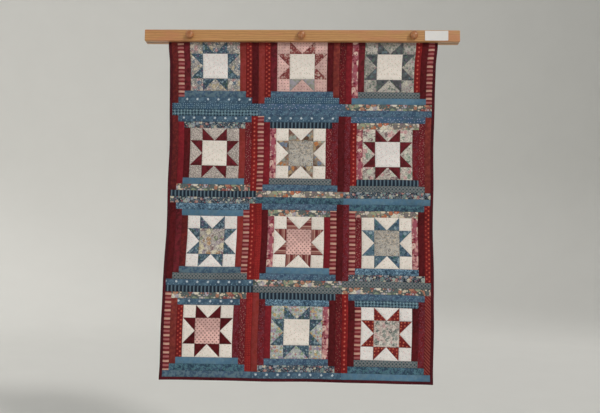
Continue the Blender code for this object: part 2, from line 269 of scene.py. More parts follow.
def rings(look, cloth, ground, colour, pitch, radius, width, jitter):
    _, distance, _ = lattice(look, cloth, pitch, jitter, (0, 0))
    inside = look.step(look.off(distance, radius), width * 0.4, width, 1, 0)
    return look.mix(inside, ground, tone(colour))


def flowers(look, cloth, ground, colour, heart, pitch, radius, offset):
    """Small flowers with five pointed petals and a coloured heart."""
    local, distance, _ = lattice(look, cloth, pitch, 0, offset)
    x, y, _ = look.parts(local)
    lobes = look.math("COSINE", look.mul(look.math("ARCTAN2", y, x), 5))
    edge = look.mul(look.add(look.mul(lobes, 0.4), 1), 0.72 * radius)
    inside = look.step(look.sub(distance, edge), -0.15 * radius, 0.12 * radius, 1, 0)
    flower = look.mix(inside, ground, tone(colour))
    return look.mix(look.step(distance, 0.14 * radius, 0.24 * radius, 1, 0), flower, tone(heart))


def stripes(look, cloth, ground, stops, period, waver):
    """Bars across the cloth's length: (place in the period, colour, strength) of each stop."""
    shake = look.mul(look.sub(look.noise(cloth, 55, 1), 0.5), waver)
    along = look.add(look.parts(cloth)[0], shake)
    bars = [(place, (*tone(code)[:3], strength)) for place, code, strength in stops]
    made = look.ramp(look.turn(along, period), bars)
    return look.mix(made.node.outputs[1], ground, made)


def twill(look, cloth, ground, light, dark, period, strength):
    """Fine slanting lines."""
    x, y, _ = look.parts(cloth)
    wave = look.math("SINE", look.mul(look.add(x, y), 2 * pi / period))
    raised = look.mix(look.step(wave, 0, 0.9, 0, strength), ground, tone(light))
    return look.mix(look.step(wave, -0.9, 0, strength, 0), raised, tone(dark))


def blooms(look, cloth, ground, palette, size, cover, stretch=(1, 1), offset=(0, 0), bend=0.35):
    """Printed flowers and leaves: bent blobs, each in its own colour, darker at the heart."""
    push = look.node("TexNoise", {"Vector": cloth, "Scale": 0.9 / size, "Detail": 2.0}).outputs["Color"]
    swing = look.stretch(look.vector("SUBTRACT", push, (0.5,) * 3), (bend * size * 2,) * 3)
    pitch = (size * stretch[0], size * stretch[1])
    _, distance, pick = lattice(look, look.vector("ADD", cloth, swing), pitch, 1.0, offset)
    kind, reach, _ = look.node("SeparateColor", {0: pick}).outputs
    stops = [(i / len(palette), tone(code)) for i, code in enumerate(palette)]
    petal = look.ramp(kind, stops, "CONSTANT")
    edge = look.mul(look.add(reach, 0.55), cover * size * 0.42)
    inside = look.step(look.sub(distance, edge), -0.06 * size, 0.05 * size, 1, 0)
    heart = look.step(distance, 0.04 * size, 0.13 * size, 0.55, 0)
    return look.mix(inside, ground, look.mix(heart, petal, tone(palette[-1])))


def swirls(look, cloth, ground, colour, scale, width, bands, distortion, strength):
    """Curling lines of even width."""
    turn = look.math("FRACT", look.mul(look.noise(cloth, scale, 1.5, 0.5, distortion), bands))
    inside = look.step(look.off(turn, 0.5), width * 0.6, width * 1.4, strength, 0)
    return look.mix(inside, ground, tone(colour))


def clouds(look, cloth, ground, colour, scale, amount):
    """Mottling of a second dye."""
    inside = look.step(look.noise(cloth, scale, 3, 0.6, 0.4), 0.42, 0.58, 0, amount)
    return look.mix(inside, ground, tone(colour))


def cotton(name, low, high, *prints, roughness=0.86, stitched=None, mottle=MOTTLE):
    """Quilting cotton: mottled dye, its print, painted shade along the seams and a plain weave."""
    look = Look(name, roughness, Sheen_Weight=0.06, Sheen_Roughness=0.45, Specular_IOR_Level=0.2)
    cloth = look.map("Cloth")
    dye = look.step(look.noise(cloth, 62, 3, 0.62), 0.32, 0.68)
    batch = look.step(look.noise(cloth, 5, 1), 0.35, 0.65, 1 - 1.6 * mottle, 1 + 1.6 * mottle)
    blotch = look.step(look.noise(cloth, 36, 2, 0.6), 0.34, 0.66, 1 - mottle, 1 + mottle)
    colour = look.shade(look.mix(dye, tone(low), tone(high)), look.mul(batch, blotch))
    for draw, *numbers in prints:
        colour = draw(look, cloth, colour, *numbers)
    yarn = look.step(look.noise(look.stretch(cloth, (1, 6, 1)), 700, 2), 0.2, 0.8, 0.9, 1.08)
    from_seam, along_seam, _ = look.parts(look.map("Seam"))
    # Painted shade: the colour darkens towards each quilted seam, where the ditch lies in shade.
    fade = look.step(from_seam, 0.0002, 0.0016, 0.72, 1.0)
    colour = look.shade(look.shade(colour, yarn), fade)
    normal = look.bump(weave_height(look, cloth), 0.00012, 0.55)
    if stitched:
        on = look.step(look.off(look.turn(along_seam, STITCH_PITCH), 0.5), 0.26, 0.33, 1, 0)
        thread = look.mul(on, look.step(from_seam, 0.00022, 0.0005, 1, 0))
        colour = look.mix(thread, colour, tone(stitched))
        normal = look.bump(thread, 0.0003, 0.8, normal)
    return look.finish(colour, normal)


LADDER = (
    (0.0, "c69b8c", 1), (0.22, "c09080", 1), (0.27, "64161f", 0), (0.46, "6b1a22", 0),
    (0.52, "a2605f", 1), (0.72, "a2605f", 1), (0.78, "64161f", 0), (0.94, "64161f", 0), (1.0, "c69b8c", 1),
)
TICKING = (
    (0.0, "1b2532", 1), (0.50, "1b2532", 1), (0.58, "566c7a", 1), (0.72, "6d818b", 1),
    (0.80, "33475a", 1), (0.90, "4f6473", 1), (1.0, "1b2532", 1),
)
MAROON_BARS = (
    (0.0, "67272a", 1), (0.32, "763634", 1), (0.4, "ae857a", 1), (0.5, "763634", 1),
    (0.6, "96635c", 1), (0.74, "bb9b8d", 1), (0.86, "824542", 1), (1.0, "67272a", 1),
)
# Colours of the printed flowers
BRIGHT = ("d0c3ae", "bd8a84", "b07a62", "8a967e", "aba5ae", "8a4e4a", "d8d1c2", "5a6464")
PALE = ("d8cab4", "c99890", "b66a4a", "98a083", "cfc6be", "7d6a72", "e0d9c6", "8f8a7a")
GLAZED = {"steel blue": 0.72}  # roughness of cloths smoother than the rest
EVEN = {"cream": 0.03, "white print": 0.03}  # mottling of cloths more even than the rest

# Two shades of the dye, then the prints on it
COTTONS = {
    # Reds
    "burgundy": ("4a1219", "5e2022", (clouds, "7b2230", 60, 0.5)),
    "deep burgundy": ("40070b", "540d12", (clouds, "661b24", 70, 0.35)),
    "brown burgundy": ("58191b", "6e2522", (clouds, "3e0f16", 80, 0.5)),
    "plum": (
        "591017", "72181f", (clouds, "6d3340", 60, 0.45), (dots, "8a5560", (0.011, 0.009), 0.0012, 0.9),
    ),
    "brick": ("762220", "893236", (twill, "9c4a34", "6a1c1a", 0.0056, 0.4)),
    "brick twill": ("661a20", "7c2829", (twill, "9c5648", "541416", 0.0125, 0.6)),
    "brown red": ("742c2b", "863b30", (clouds, "5a191d", 65, 0.5)),
    "red": (
        "7a1619", "8d2023", (clouds, "701a1c", 40, 0.4), (dots, "a8392c", (0.0064, 0.0064), 0.0015, 0.3),
    ),
    "crimson": ("6f1520", "822229", (clouds, "640f1c", 60, 0.4)),
    "orange row": (
        "78191b", "8b1e1d", (clouds, "6b1216", 45, 0.6), (dots, "bd5c4e", (0.0165, 1.0), 0.0036),
    ),
    "orange dots": (
        "6c161a", "811e1e", (clouds, "591016", 60, 0.5),
        (dots, "b65340", (0.0165, 1.0), 0.0034, 0, (0, 0.0052)),
        (dots, "a8453a", (0.0165, 1.0), 0.0034, 0, (0.0082, -0.0052)),
    ),
    "ladder": ("641a22", "77252c", (stripes, LADDER, 0.031, 0.002)),
    "magenta floral": (
        "8c4352", "9c5862",
        (blooms, ("d3a8a2", "c08a88", "8d3a46", "dabaae"), 0.027, 1.0, (1, 1), (0, 0), 0.5),
        (blooms, ("a8727a", "cfa9a2", "6b1f30"), 0.0125, 0.6, (1, 1), (0.004, 0.002)),
    ),
    "flecked burgundy": (
        "5c131b", "721d25", (dots, "b08078", (0.0105, 0.0085), 0.0014, 1.0),
        (dots, "8d4a50", (0.007, 0.006), 0.0011, 1.0, (0.003, 0.001)),
    ),
    "flecked dark": (
        "500c15", "6a151c", (dots, "8a5448", (0.0125, 0.0105), 0.0017, 1.0),
        (dots, "6a3a3c", (0.008, 0.006), 0.0011, 1.0, (0.002, 0.003)),
    ),
    # Blues
    "steel blue": ("517085", "5c7b8d", (clouds, "436f91", 55, 0.4)),
    "blue": (
        "425168", "4f5f74", (clouds, "334c66", 40, 0.8), (clouds, "5c7d90", 75, 0.55),
        (dots, "86a7bd", (0.011, 0.009), 0.0012, 1.0),
    ),
    "slate": ("3e556e", "496179", (clouds, "3a5064", 44, 0.75), (clouds, "6d858c", 80, 0.55)),
    "teal": (
        "394f66", "476078", (clouds, "213648", 44, 0.8), (clouds, "5c8790", 80, 0.55),
        (dots, "243a4c", (0.0085, 0.0075), 0.0015, 0.8),
    ),
    "lilac flecks": (
        "465f74", "556c7f", (clouds, "365679", 45, 0.6), (dots, "a4a8c6", (0.013, 0.010), 0.0017, 1.0),
    ),
    "star flowers": (
        "42586c", "4d6476", (clouds, "638397", 60, 0.5), (clouds, "324b62", 40, 0.6),
        (flowers, "ccd5dc", "a7bac8", (0.041, 1.0), 0.0052, (0, 0.003)),
        (dots, "7f99aa", (0.0205, 1.0), 0.0019, 0, (0.010, -0.006)),
        (dots, "2f4a62", (0.014, 0.009), 0.0015, 0.9),
    ),
    "tiny dots": (
        "3d5668", "496372", (clouds, "31506c", 42, 0.7), (dots, "9db7cb", (0.0088, 0.0076), 0.0014, 0.45),
    ),
    "scallop": (
        "59686a", "657476", (rings, "7c7678", (0.0138, 0.0130), 0.0052, 0.0013, 0.1),
        (dots, "2a4048", (0.0138, 0.0130), 0.0033, 0.1),
        (dots, "344c56", (0.0138, 0.0130), 0.0024, 0.1, (0.0069, 0.0065)),
    ),
    "dark dots": (
        "435e70", "52697a", (clouds, "6f8f98", 60, 0.5), (dots, "1c2c3a", (0.0124, 0.0118), 0.0036, 0.15),
        (dots, "9db4bc", (0.0124, 0.0118), 0.0017, 0.2, (0.006, 0.006)),
    ),
    "ticking": ("1a2638", "22324a", (stripes, TICKING, 0.0145, 0.0016)),
    "swirl blue": (
        "435f74", "4f6c84", (swirls, "8fb0c4", 48, 0.16, 5, 1.6, 0.8),
        (swirls, "1f3348", 36, 0.13, 4, 2.0, 0.85),
    ),
    "bright floral": (
        "495458", "5d655f", (blooms, BRIGHT, 0.023, 1.05),
        (blooms, BRIGHT[::-1], 0.011, 0.6, (1.3, 0.8), (0.004, 0.003)),
    ),
    "pale floral": (
        "66605f", "77716e", (blooms, PALE, 0.024, 1.0),
        (blooms, PALE[::-1], 0.012, 0.55, (1.4, 0.7), (0.005, 0.002)),
    ),
    "navy floral": (
        "1e2936", "2a3743",
        (blooms, ("cbbfa8", "b07f70", "8a929e", "66807c", "2a3648", "9faaa0"), 0.019, 0.85),
        (swirls, "8d9aa2", 60, 0.11, 4, 2.2, 0.8),
        (blooms, ("bdb6a8", "5c7480", "8a5560"), 0.010, 0.5, (1, 1), (0.004, 0.004)),
    ),
    # Star grounds and centres
    "cream": (
        "e5dcd4", "ebe3db", (dots, "b4b9a2", (0.014, 0.012), 0.0015, 1.0),
        (dots, "d9b4a8", (0.017, 0.015), 0.0015, 1.0, (0.006, 0.004)),
    ),
    "white print": (
        "e3dddb", "eae5e2", (dots, "bcc2be", (0.013, 0.011), 0.0016, 1.0),
        (dots, "dcb0ae", (0.018, 0.015), 0.0016, 1.0, (0.006, 0.004)),
    ),
    "cream floral": (
        "8f8a8a", "a29c9a",
        (blooms, ("8b8c86", "c8bcae", "b08a8c", "5c7084", "dcd6ca", "b9aa8c"), 0.0145, 0.95),
        (swirls, "50585e", 76, 0.10, 4, 2.0, 0.7), (dots, "ddd8ce", (0.010, 0.009), 0.0017, 1.0),
    ),
    "dusty pink": (
        "cba4a2", "d9b3ad", (dots, "8c6660", (0.0116, 0.0116), 0.0022, 0.25), (clouds, "d8b8ae", 60, 0.4),
    ),
    "grey print": (
        "a19c98", "aea9a3", (blooms, ("80847a", "c4bfb0", "a08a8c", "6f7a70"), 0.0105, 0.8),
        (dots, "5c645e", (0.0088, 0.0082), 0.0013, 1.0),
    ),
    "grey speckle": (
        "afa39e", "bbaeaa", (dots, "6f726a", (0.0076, 0.0070), 0.0016, 0.9),
        (dots, "dedacd", (0.009, 0.008), 0.0016, 1.0, (0.003, 0.002)),
    ),
    "green pink floral": (
        "b4a8a2", "bfb2ac", (blooms, ("7a8f80", "cc9a9c", "ded9cc", "b9bfae", "80666a"), 0.0175, 1.0),
        (swirls, "66726a", 66, 0.11, 4, 1.8, 0.75), (swirls, "e0dcd0", 48, 0.14, 4, 1.8, 0.7),
    ),
    "mixed floral": (
        "a8a09e", "b4aeab",
        (blooms, ("86686e", "cfc6a8", "b08c6a", "9c8f9c", "dcd2bc", "76806a"), 0.019, 0.95),
        (swirls, "e0dac6", 60, 0.11, 4, 1.8, 0.85), (swirls, "5c4e50", 44, 0.10, 4, 2.0, 0.7),
    ),
    "taupe swirl": (
        "9f9f9f", "aaabaa", (swirls, "cdbfab", 70, 0.18, 6, 1.4, 0.95),
        (swirls, "6a5f56", 62, 0.13, 5, 1.4, 0.8),
    ),
    "grey floral": (
        "bdaca6", "ccbbb2", (blooms, ("848c86", "c8a4a2", "8e928c", "d8d2ca", "666c68"), 0.016, 0.95),
        (swirls, "565c5a", 60, 0.11, 4, 2.0, 0.8), (swirls, "dcd6ce", 46, 0.13, 4, 1.8, 0.7),
    ),
    "pink dot": (
        "d3a9a4", "ddb5ae", (dots, "8a675f", (0.0150, 0.0160), 0.0028),
        (dots, "8a675f", (0.0150, 0.0160), 0.0028, 0, (0.0075, 0.0080)),
    ),
    "fine print": (
        "a9aeae", "b7bcba", (blooms, ("bfa272", "a8787c", "869a80", "9488a0", "dad4c0"), 0.0115, 0.9),
        (dots, "66685f", (0.0085, 0.008), 0.0012, 1.0),
    ),
    # Star points
    "slate print": (
        "3f5669", "4f6676", (clouds, "2c3a44", 60, 0.5),
        (blooms, ("647a86", "3d5248", "5a4e66", "7f939c"), 0.0125, 0.7),
        (dots, "a3b1b6", (0.012, 0.011), 0.0014, 1.0),
    ),
    "charcoal print": (
        "4b5152", "5b6263", (clouds, "4b404d", 60, 0.5),
        (blooms, ("5c6e66", "6a6070", "66767c", "3a444a"), 0.0135, 0.7),
    ),
    "teal print": (
        "415a6c", "4d6878", (blooms, ("34605e", "566a88", "8c9fa8", "2c4254"), 0.0130, 0.8),
        (swirls, "8fa3ac", 60, 0.09, 4, 1.8, 0.6),
    ),
    "rose mottled": (
        "8a4c4a", "9a5f5a", (clouds, "6c2a2e", 60, 0.8),
        (blooms, ("b08c86", "7a2f33", "bda69c"), 0.0120, 0.65),
        (dots, "c8aca4", (0.012, 0.010), 0.0016, 1.0),
    ),
    "pale teal": ("909488", "a2a296", (clouds, "a8a0b4", 60, 0.6)),
    "brown floral": (
        "8c7a6c", "a39284",
        (blooms, ("b09a78", "7b5a50", "98a49c", "5c4436", "c4b496", "74849a", "c08050"), 0.0165, 1.0),
        (swirls, "4a3a30", 66, 0.10, 4, 1.8, 0.6),
    ),
    "maroon bars": ("5f2426", "6e3230", (stripes, MAROON_BARS, 0.0235, 0)),
    "red print": (
        "782224", "872d2a", (clouds, "5e1016", 60, 0.6), (dots, "c06a50", (0.0135, 0.0125), 0.0028, 0.4),
    ),
}
FABRICS = {}
for title, spec in COTTONS.items():
    surface = {"roughness": GLAZED.get(title, 0.86), "mottle": EVEN.get(title, MOTTLE)}
    FABRICS[title] = cotton(f"cotton {title}", *spec, **surface)
BINDING_CLOTH = cotton("cotton binding", "3a0b13", "4a1019", (clouds, "551520", 60, 0.4))
BACKING_CLOTH = cotton("cotton backing", "cdc3ad", "d3c9b3", stitched="f1ecdf", mottle=0.02)


def fibre_look(name, roughness, low, high, scale, detail, depth, **more):
    """Felt, wadding or card: one noise for its colour and its relief."""
    look = Look(name, roughness, **more)
    fibre = look.noise(look.place(), scale, *detail)
    return look.finish(look.mix(fibre, tone(low), tone(high)), look.bump(fibre, *depth))


def growth_rings(look, at, pith, spacing):
    """Rings round a pith line along X, 0 to 1: each darkens slowly and ends at once."""
    bend = look.mul(look.sub(look.noise(look.stretch(at, (2.4, 14, 14)), 1.0, 3, 0.55), 0.5), 0.016)
    _, y, z = look.parts(at)
    flat = look.node("CombineXYZ", {1: look.sub(y, pith[0]), 2: look.sub(z, pith[1])}).outputs[0]
    radius = look.add(look.length(flat), bend)
    uneven = look.noise(look.node("CombineXYZ", {0: radius}).outputs[0], 130, 2)
    turn = look.turn(look.add(radius, look.mul(uneven, 1.6 * spacing)), spacing)
    return look.mul(look.step(turn, 0.0, 0.82), look.step(turn, 0.86, 1.0, 1, 0))


def wood_look(name, pale, dark, red, pith, spacing):
    """Varnished pine or maple board with its grain along X."""
    look = Look(name, 0.42, Coat_Weight=0.22, Coat_Roughness=0.28)
    at = look.place()
    years = growth_rings(look, at, pith, spacing)
    pores = look.noise(look.stretch(at, (38, 836, 836)), 1.0, 2, 0.6)
    fibres = look.noise(look.stretch(at, (3, 420, 420)), 1.0, 2, 0.6)
    patch = look.step(look.noise(look.stretch(at, (7, 30, 30)), 1.0, 2), 0.46, 0.66, 0, 0.75)
    colour = look.mix(look.mul(years, 0.62), tone(pale), tone(dark))
    colour = look.mix(patch, colour, tone(red))
    colour = look.mix(look.step(pores, 0.5, 0.7, 0, 0.6), colour, tone(dark))
    colour = look.mix(look.step(fibres, 0.5, 0.75, 0, 0.4), colour, tone(red))
    height = look.add(look.mul(years, 0.35), look.mul(pores, 0.65))
    return look.finish(colour, look.bump(height, 0.00025, 0.5), look.step(pores, 0.3, 0.8, 0.36, 0.56))


def knob_look():
    """Reddish turned hardwood, its end grain facing out, under gloss varnish."""
    look = Look("knob wood", 0.3, Coat_Weight=0.55, Coat_Roughness=0.12)
    at = look.place()
    warm = look.noise(look.stretch(at, (1, 0.12, 1)), 120, 3, 0.6, 0.8)
    lines = look.noise(look.stretch(at, (1, 0.2, 5)), 260, 2, 0.6)
    colour = look.mix(look.step(warm, 0.3, 0.7), tone("b97c4b"), tone("9a5c31"))
    colour = look.mix(look.step(lines, 0.5, 0.75, 0, 0.5), colour, tone("7d4524"))
    return look.finish(colour, look.bump(lines, 0.00015, 0.4))


def metal_look(name, light, dark, roughness, scale):
    look = Look(name, roughness, 1.0)
    at = look.place()
    spangle = look.node("TexVoronoi", {"Vector": at, "Scale": scale}).outputs["Color"]
    flake = look.node("SeparateColor", {0: spangle}).outputs[0]
    smear = look.noise(at, 180, 3, 0.6)
    colour = look.mix(look.mul(flake, smear), tone(light), tone(dark))
    rough = look.step(smear, 0.25, 0.75, roughness - 0.08, roughness + 0.16)
    scratch = look.noise(look.stretch(at, (1, 1, 9)), 900, 2)
    return look.finish(colour, look.bump(scratch, 0.00004, 0.4), rough)


def card_look():
    look = Look("card", 0.5, Coat_Weight=0.1, Coat_Roughness=0.3)
    at = look.place()
    colour = look.mix(look.noise(at, 45, 2), tone("dedee0"), tone("e9e6e1"))
    return look.finish(colour, look.bump(look.noise(at, 1200, 3, 0.6), 0.00004, 0.5))


FRONT_WOOD = wood_look("front board wood", "c8975f", "a16e3c", "bf7f58", (0.034, -0.052), 0.0042)
BACK_WOOD = wood_look("back board wood", "bf9059", "986637", "b57a55", (0.060, 0.045), 0.0050)
SPACER_WOOD = wood_look("spacer wood", "c5965f", "9d6b3a", "b87d57", (0.055, 0.030), 0.0036)
KNOB_WOOD = knob_look()
ZINC = metal_look("zinc steel", "b9bcbf", "85898f", 0.34, 700)
BRASS = metal_look("brass", "cfa64f", "a07a34", 0.28, 1200)
FELT = fibre_look(
    "grey felt", 0.95, "6d6961", "a39d92", 900, (4, 0.75, 1.5), (0.0004, 0.9),
    Sheen_Weight=0.6, Sheen_Roughness=0.6,
)
BATTING = fibre_look("batting", 1.0, "d6d2c6", "efece4", 260, (4, 0.7), (0.0006, 0.7), Sheen_Weight=0.4)
CARD = card_look()


# --------------------------------------------------------------------------- mesh helpers


def add_object(name, data, *materials, smooth_angle=None):
    obj = bpy.data.objects.new(name, data)
    bpy.context.scene.collection.objects.link(obj)
    for material in materials:
        data.materials.append(material)
    if smooth_angle is not None:
        data.shade_smooth()
        data.set_sharp_from_angle(angle=radians(smooth_angle))
    return obj


def mesh_of(name, points, faces, uv=None, seam=None):
    """A smooth mesh, with corner values for its two maps."""
    mesh = bpy.data.meshes.new(name)
    mesh.from_pydata(points.tolist(), [], faces)
    for title, values in (("Cloth", uv), ("Seam", seam)):
        if values is not None:
            layer = mesh.uv_layers.new(name=title)
            layer.data.foreach_set("uv", np.asarray(values, np.float32).ravel())
    mesh.shade_smooth()
    mesh.update()
    return mesh


def turn_outward(mesh, merge=None):
    """Points every face outward, after merging the points closer than a distance."""
    form = bmesh.new()
    form.from_mesh(mesh)
    if merge:
        bmesh.ops.remove_doubles(form, verts=form.verts, dist=merge)
    bmesh.ops.recalc_face_normals(form, faces=form.faces)
    form.to_mesh(mesh)
    form.free()


def grid_of(a, b):
    """Every pair of two rows of values, numbered along the second row first."""
    return [g.ravel() for g in np.meshgrid(a, b, indexing="ij")]


def grid_faces(columns, rows):
    i, j = grid_of(np.arange(columns), np.arange(rows))
    a = i * (rows + 1) + j
    b = a + rows + 1
    return np.stack([a, b, b + 1, a + 1], -1)


def slab(name, near, far, columns, rows, material, smooth_angle=None):
    """A closed sheet between two grids of points."""
    faces = grid_faces(columns, rows)
    size = len(near)
    index = np.arange(size).reshape(columns + 1, rows + 1)
    ring = np.concatenate([index[:, 0], index[-1, 1:], index[-2::-1, -1], index[0, -2:0:-1]])
    after = np.roll(ring, -1)
    rim = np.stack([ring, ring + size, after + size, after], 1)
    every = np.concatenate([faces, faces[:, ::-1] + size, rim])
    mesh = mesh_of(name, np.concatenate([near, far]), every.tolist())
    return add_object(name, mesh, material, smooth_angle=smooth_angle)


def apply_modifiers(obj):
    """Replaces the mesh by what its modifiers make of it."""
    graph = bpy.context.evaluated_depsgraph_get()
    made = bpy.data.meshes.new_from_object(obj.evaluated_get(graph))
    obj.modifiers.clear()
    obj.data = made


def sharpen(obj, angle):
    obj.data.shade_smooth()
    obj.data.set_sharp_from_angle(angle=radians(angle))


def bevel(obj, width, segments, limit="NONE"):
    modifier = obj.modifiers.new("Round", "BEVEL")
    modifier.width = width
    modifier.segments = segments
    modifier.limit_method = limit
    apply_modifiers(obj)


def lathe(name, profile, steps, at, material):
    """A profile of (radius, distance out from the wall side) turned about a line along -Y."""
    angles = [2 * pi * i / steps for i in range(steps)]
    points, rows = [], []
    for radius, out in profile:
        if radius < 1e-7:
            rows.append([len(points)])
            points.append((0, -out, 0))
        else:
            rows.append(list(range(len(points), len(points) + steps)))
            points += [(radius * cos(a), -out, radius * sin(a)) for a in angles]
    faces = []
    for first, second in zip(rows, rows[1:]):
        for i in range(steps):
            j = (i + 1) % steps
            corners = [row[k % len(row)] for row, k in ((first, i), (first, j), (second, j), (second, i))]
            kept = list(dict.fromkeys(corners))
            if len(kept) > 2:
                faces.append(kept)
    mesh = bpy.data.meshes.new(name)
    mesh.from_pydata(points, [], faces)
    mesh.transform(Matrix.Translation(at))
    return add_object(name, mesh, material, smooth_angle=38)


def round_cutter(at, radius, length, outer_radius=None, steps=64):
    """A cylinder along Y centred on a point, or a cone that narrows away from the wall."""
    form = bmesh.new()
    sizes = {"radius1": radius, "radius2": outer_radius or radius, "depth": length}
    bmesh.ops.create_cone(form, cap_ends=True, segments=steps, **sizes)
    turn = Matrix.Translation(at) @ Matrix.Rotation(pi / 2, 4, "X")
    bmesh.ops.transform(form, matrix=turn, verts=form.verts)
    mesh = bpy.data.meshes.new("cutter")
    form.to_mesh(mesh)
    form.free()
    return add_object("cutter", mesh)


def box_mesh(name, low, high):
    form = bmesh.new()
    bmesh.ops.create_cube(form, size=1)
    size = Vector(high) - Vector(low)
    place = Matrix.Translation((Vector(high) + Vector(low)) / 2) @ Matrix.Diagonal((*size, 1))
    bmesh.ops.transform(form, matrix=place, verts=form.verts)
    mesh = bpy.data.meshes.new(name)
    form.to_mesh(mesh)
    form.free()
    return mesh


def cut(obj, cutters):
    for cutter in cutters:
        boolean = obj.modifiers.new("Cut", "BOOLEAN")
        boolean.object = cutter
        boolean.operation = "DIFFERENCE"
        boolean.solver = "EXACT"
    apply_modifiers(obj)
    for cutter in cutters:
        bpy.data.objects.remove(cutter)


def wall_side(low, high):
    """Middle of a box's side towards the wall."""
    return Vector(((low.x + high.x) / 2, high.y, (low.z + high.z) / 2))


def settle(obj, body, node=None):
    """Hangs a finished piece on its body, or for the bend bakes its place into its mesh, and hides the CAD
    piece it stands in for.
    """
    if body == "bend":
        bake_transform(obj)
    else:
        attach(obj, body)
    if node:
        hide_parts(node)
    return obj


# --------------------------------------------------------------------------- the rack

SHANK = 0.003175  # radius of the bolts
BOLT_HOLE_SPARE = 0.0005
FRONT_ROUND = 0.003
THREAD_PITCH = 0.00127
THREAD_DEPTH = 0.0004
THREAD_LENGTH = 0.030
SLOT_HALF = 0.0024  # of a keyhole
ENTRY_RADIUS = 0.00475
ENTRY_DROP = 0.010  # from the slot's end down to the entry's centre


def front_board():
    board = add_object("front_board_wood", box_mesh("front_board_wood", rail_low, rail_high), FRONT_WOOD)
    bevel(board, FRONT_ROUND, 8)
    holes = []
    for side in ("left", "middle", "right"):
        low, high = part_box(f"clamp_bolt_{side}")
        at = ((low.x + high.x) / 2, (rail_low.y + rail_high.y) / 2, (low.z + high.z) / 2)
        holes.append(round_cutter(at, SHANK + BOLT_HOLE_SPARE, 0.05))
    cut(board, holes)
    sharpen(board, 40)
    settle(board, "front_board", "front_rail")


def knob(side):
    """A turned knob: foot with a bead, belly and a low dome, hollow for its insert."""
    low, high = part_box(f"knob_{side}")
    insert_low, insert_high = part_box(f"knob_insert_{side}")
    widest, height = (high.x - low.x) / 2, high.y - low.y
    foot, belly, base = widest * 0.84, height * 0.45, height * 0.15
    bore = (insert_high.x - insert_low.x) / 2 + 0.0003
    depth = insert_high.y - insert_low.y + 0.001
    profile = [(0, depth), (bore, depth), (bore, 0.0004), (bore + 0.0004, 0)]
    profile += [(foot - 0.0006, 0), (foot - 0.0002, 0.0002), (foot, 0.0006), (foot, base * 0.72)]
    profile += [(foot - 0.0005, base * 0.86), (foot - 0.0005, base * 0.95)]
    swell = [radians(-90 + 90 * i / 12) for i in range(1, 13)]
    profile += [(foot + (widest - foot) * cos(a), belly + (belly - base) * sin(a)) for a in swell]
    dome = [radians(90 * i / 28) for i in range(1, 28)]
    profile += [(widest * cos(a), belly + (height - belly) * sin(a)) for a in dome]
    profile += [(0, height)]
    at = wall_side(low, high)
    turned = lathe(f"knob_wood_{side}", profile, 96, at, KNOB_WOOD)
    settle(turned, f"knob_{side}", f"knob_{side}")
    outer, inner, end = bore - 0.0003, bore - 0.0016, depth - 0.001
    ring = [(outer, 0.0), (outer, end), (inner, end), (inner, 0.0), (outer, 0.0)]
    insert = lathe(f"insert_{side}", ring, 48, at, BRASS)
    settle(insert, f"knob_{side}", f"knob_insert_{side}")


def bolt(side):
    """Carriage bolt: domed head, square neck, and a thread on its outer end."""
    low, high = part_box(f"clamp_bolt_{side}")
    length, head, rise = high.y - low.y, (high.x - low.x) / 2, 0.0035
    steps, per_turn = 48, 8
    turn = np.arange(steps) / steps
    across, up = np.cos(2 * pi * turn), np.sin(2 * pi * turn)
    dome = [radians(90 * i / 12) for i in range(13)]
    rows = [(rise * (1 - cos(a)), head * sin(a)) for a in dome]
    neck = (SHANK + 0.0001) * np.minimum(1 / np.maximum(np.abs(across), np.abs(up)), 1.3)
    start = length - THREAD_LENGTH
    rows += [(rise, neck), (rise + 0.005, neck), (rise + 0.0052, SHANK), (start, SHANK)]
    count = int(THREAD_LENGTH / THREAD_PITCH * per_turn)
    for i in range(count):
        out = start + THREAD_LENGTH * i / count
        wave = np.abs(((out / THREAD_PITCH - turn) % 1) * 2 - 1)
        fade = min(1, i / per_turn) * min(1, (count - i) / per_turn + 0.4)
        rows.append((out, SHANK - THREAD_DEPTH * wave * fade))
    rows += [(length, SHANK - 0.0007), (length, 0)]
    out = np.array([row[0] for row in rows])[:, None]
    radius = np.array([np.full(steps, row[1], float) for row in rows])
    points = np.stack([radius * across, 0 * radius - out, radius * up], -1)
    index = np.arange(len(rows) * steps).reshape(len(rows), steps)
    after = np.roll(index, -1, axis=1)
    faces = np.stack([index[:-1], after[:-1], after[1:], index[1:]], -1).reshape(-1, 4)[:, ::-1]
    mesh = bpy.data.meshes.new(f"bolt_{side}")
    mesh.from_pydata(points.reshape(-1, 3).tolist(), [], faces.tolist())
    turn_outward(mesh, 1e-6)
    mesh.transform(Matrix.Translation(wall_side(low, high)))
    made = add_object(f"bolt_{side}", mesh, ZINC, smooth_angle=35)
    settle(made, "root", f"clamp_bolt_{side}")


def hanger(side):
    """A stamped keyhole plate, countersunk for its screws from the wall side."""
    low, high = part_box(f"hanger_plate_{side}")
    plate = add_object(f"keyhole_plate_{side}", box_mesh("plate", low, high), ZINC)
    x, y = (low.x + high.x) / 2, (low.y + high.y) / 2
    holes = [round_cutter((x, y, -ENTRY_DROP), ENTRY_RADIUS, 0.02)]
    holes.append(round_cutter((x, y, 0), SLOT_HALF, 0.02))
    slot = box_mesh("cutter", (x - SLOT_HALF, low.y - 0.01, -ENTRY_DROP), (x + SLOT_HALF, high.y + 0.01, 0))
    holes.append(add_object("cutter", slot))
    for end in ("inner", "outer"):
        screw_low, screw_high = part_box(f"plate_screw_{side}_{end}")
        at = wall_side(screw_low, screw_high)
        radius = (screw_high.x - screw_low.x) / 2 + 0.0003
        holes.append(round_cutter((at.x, 0, at.z), radius * 1.6, 0.006, radius * 0.28, 48))
    cut(plate, holes)
    bevel(plate, 0.00025, 2, "ANGLE")
    sharpen(plate, 40)
    settle(plate, "root", f"hanger_plate_{side}")


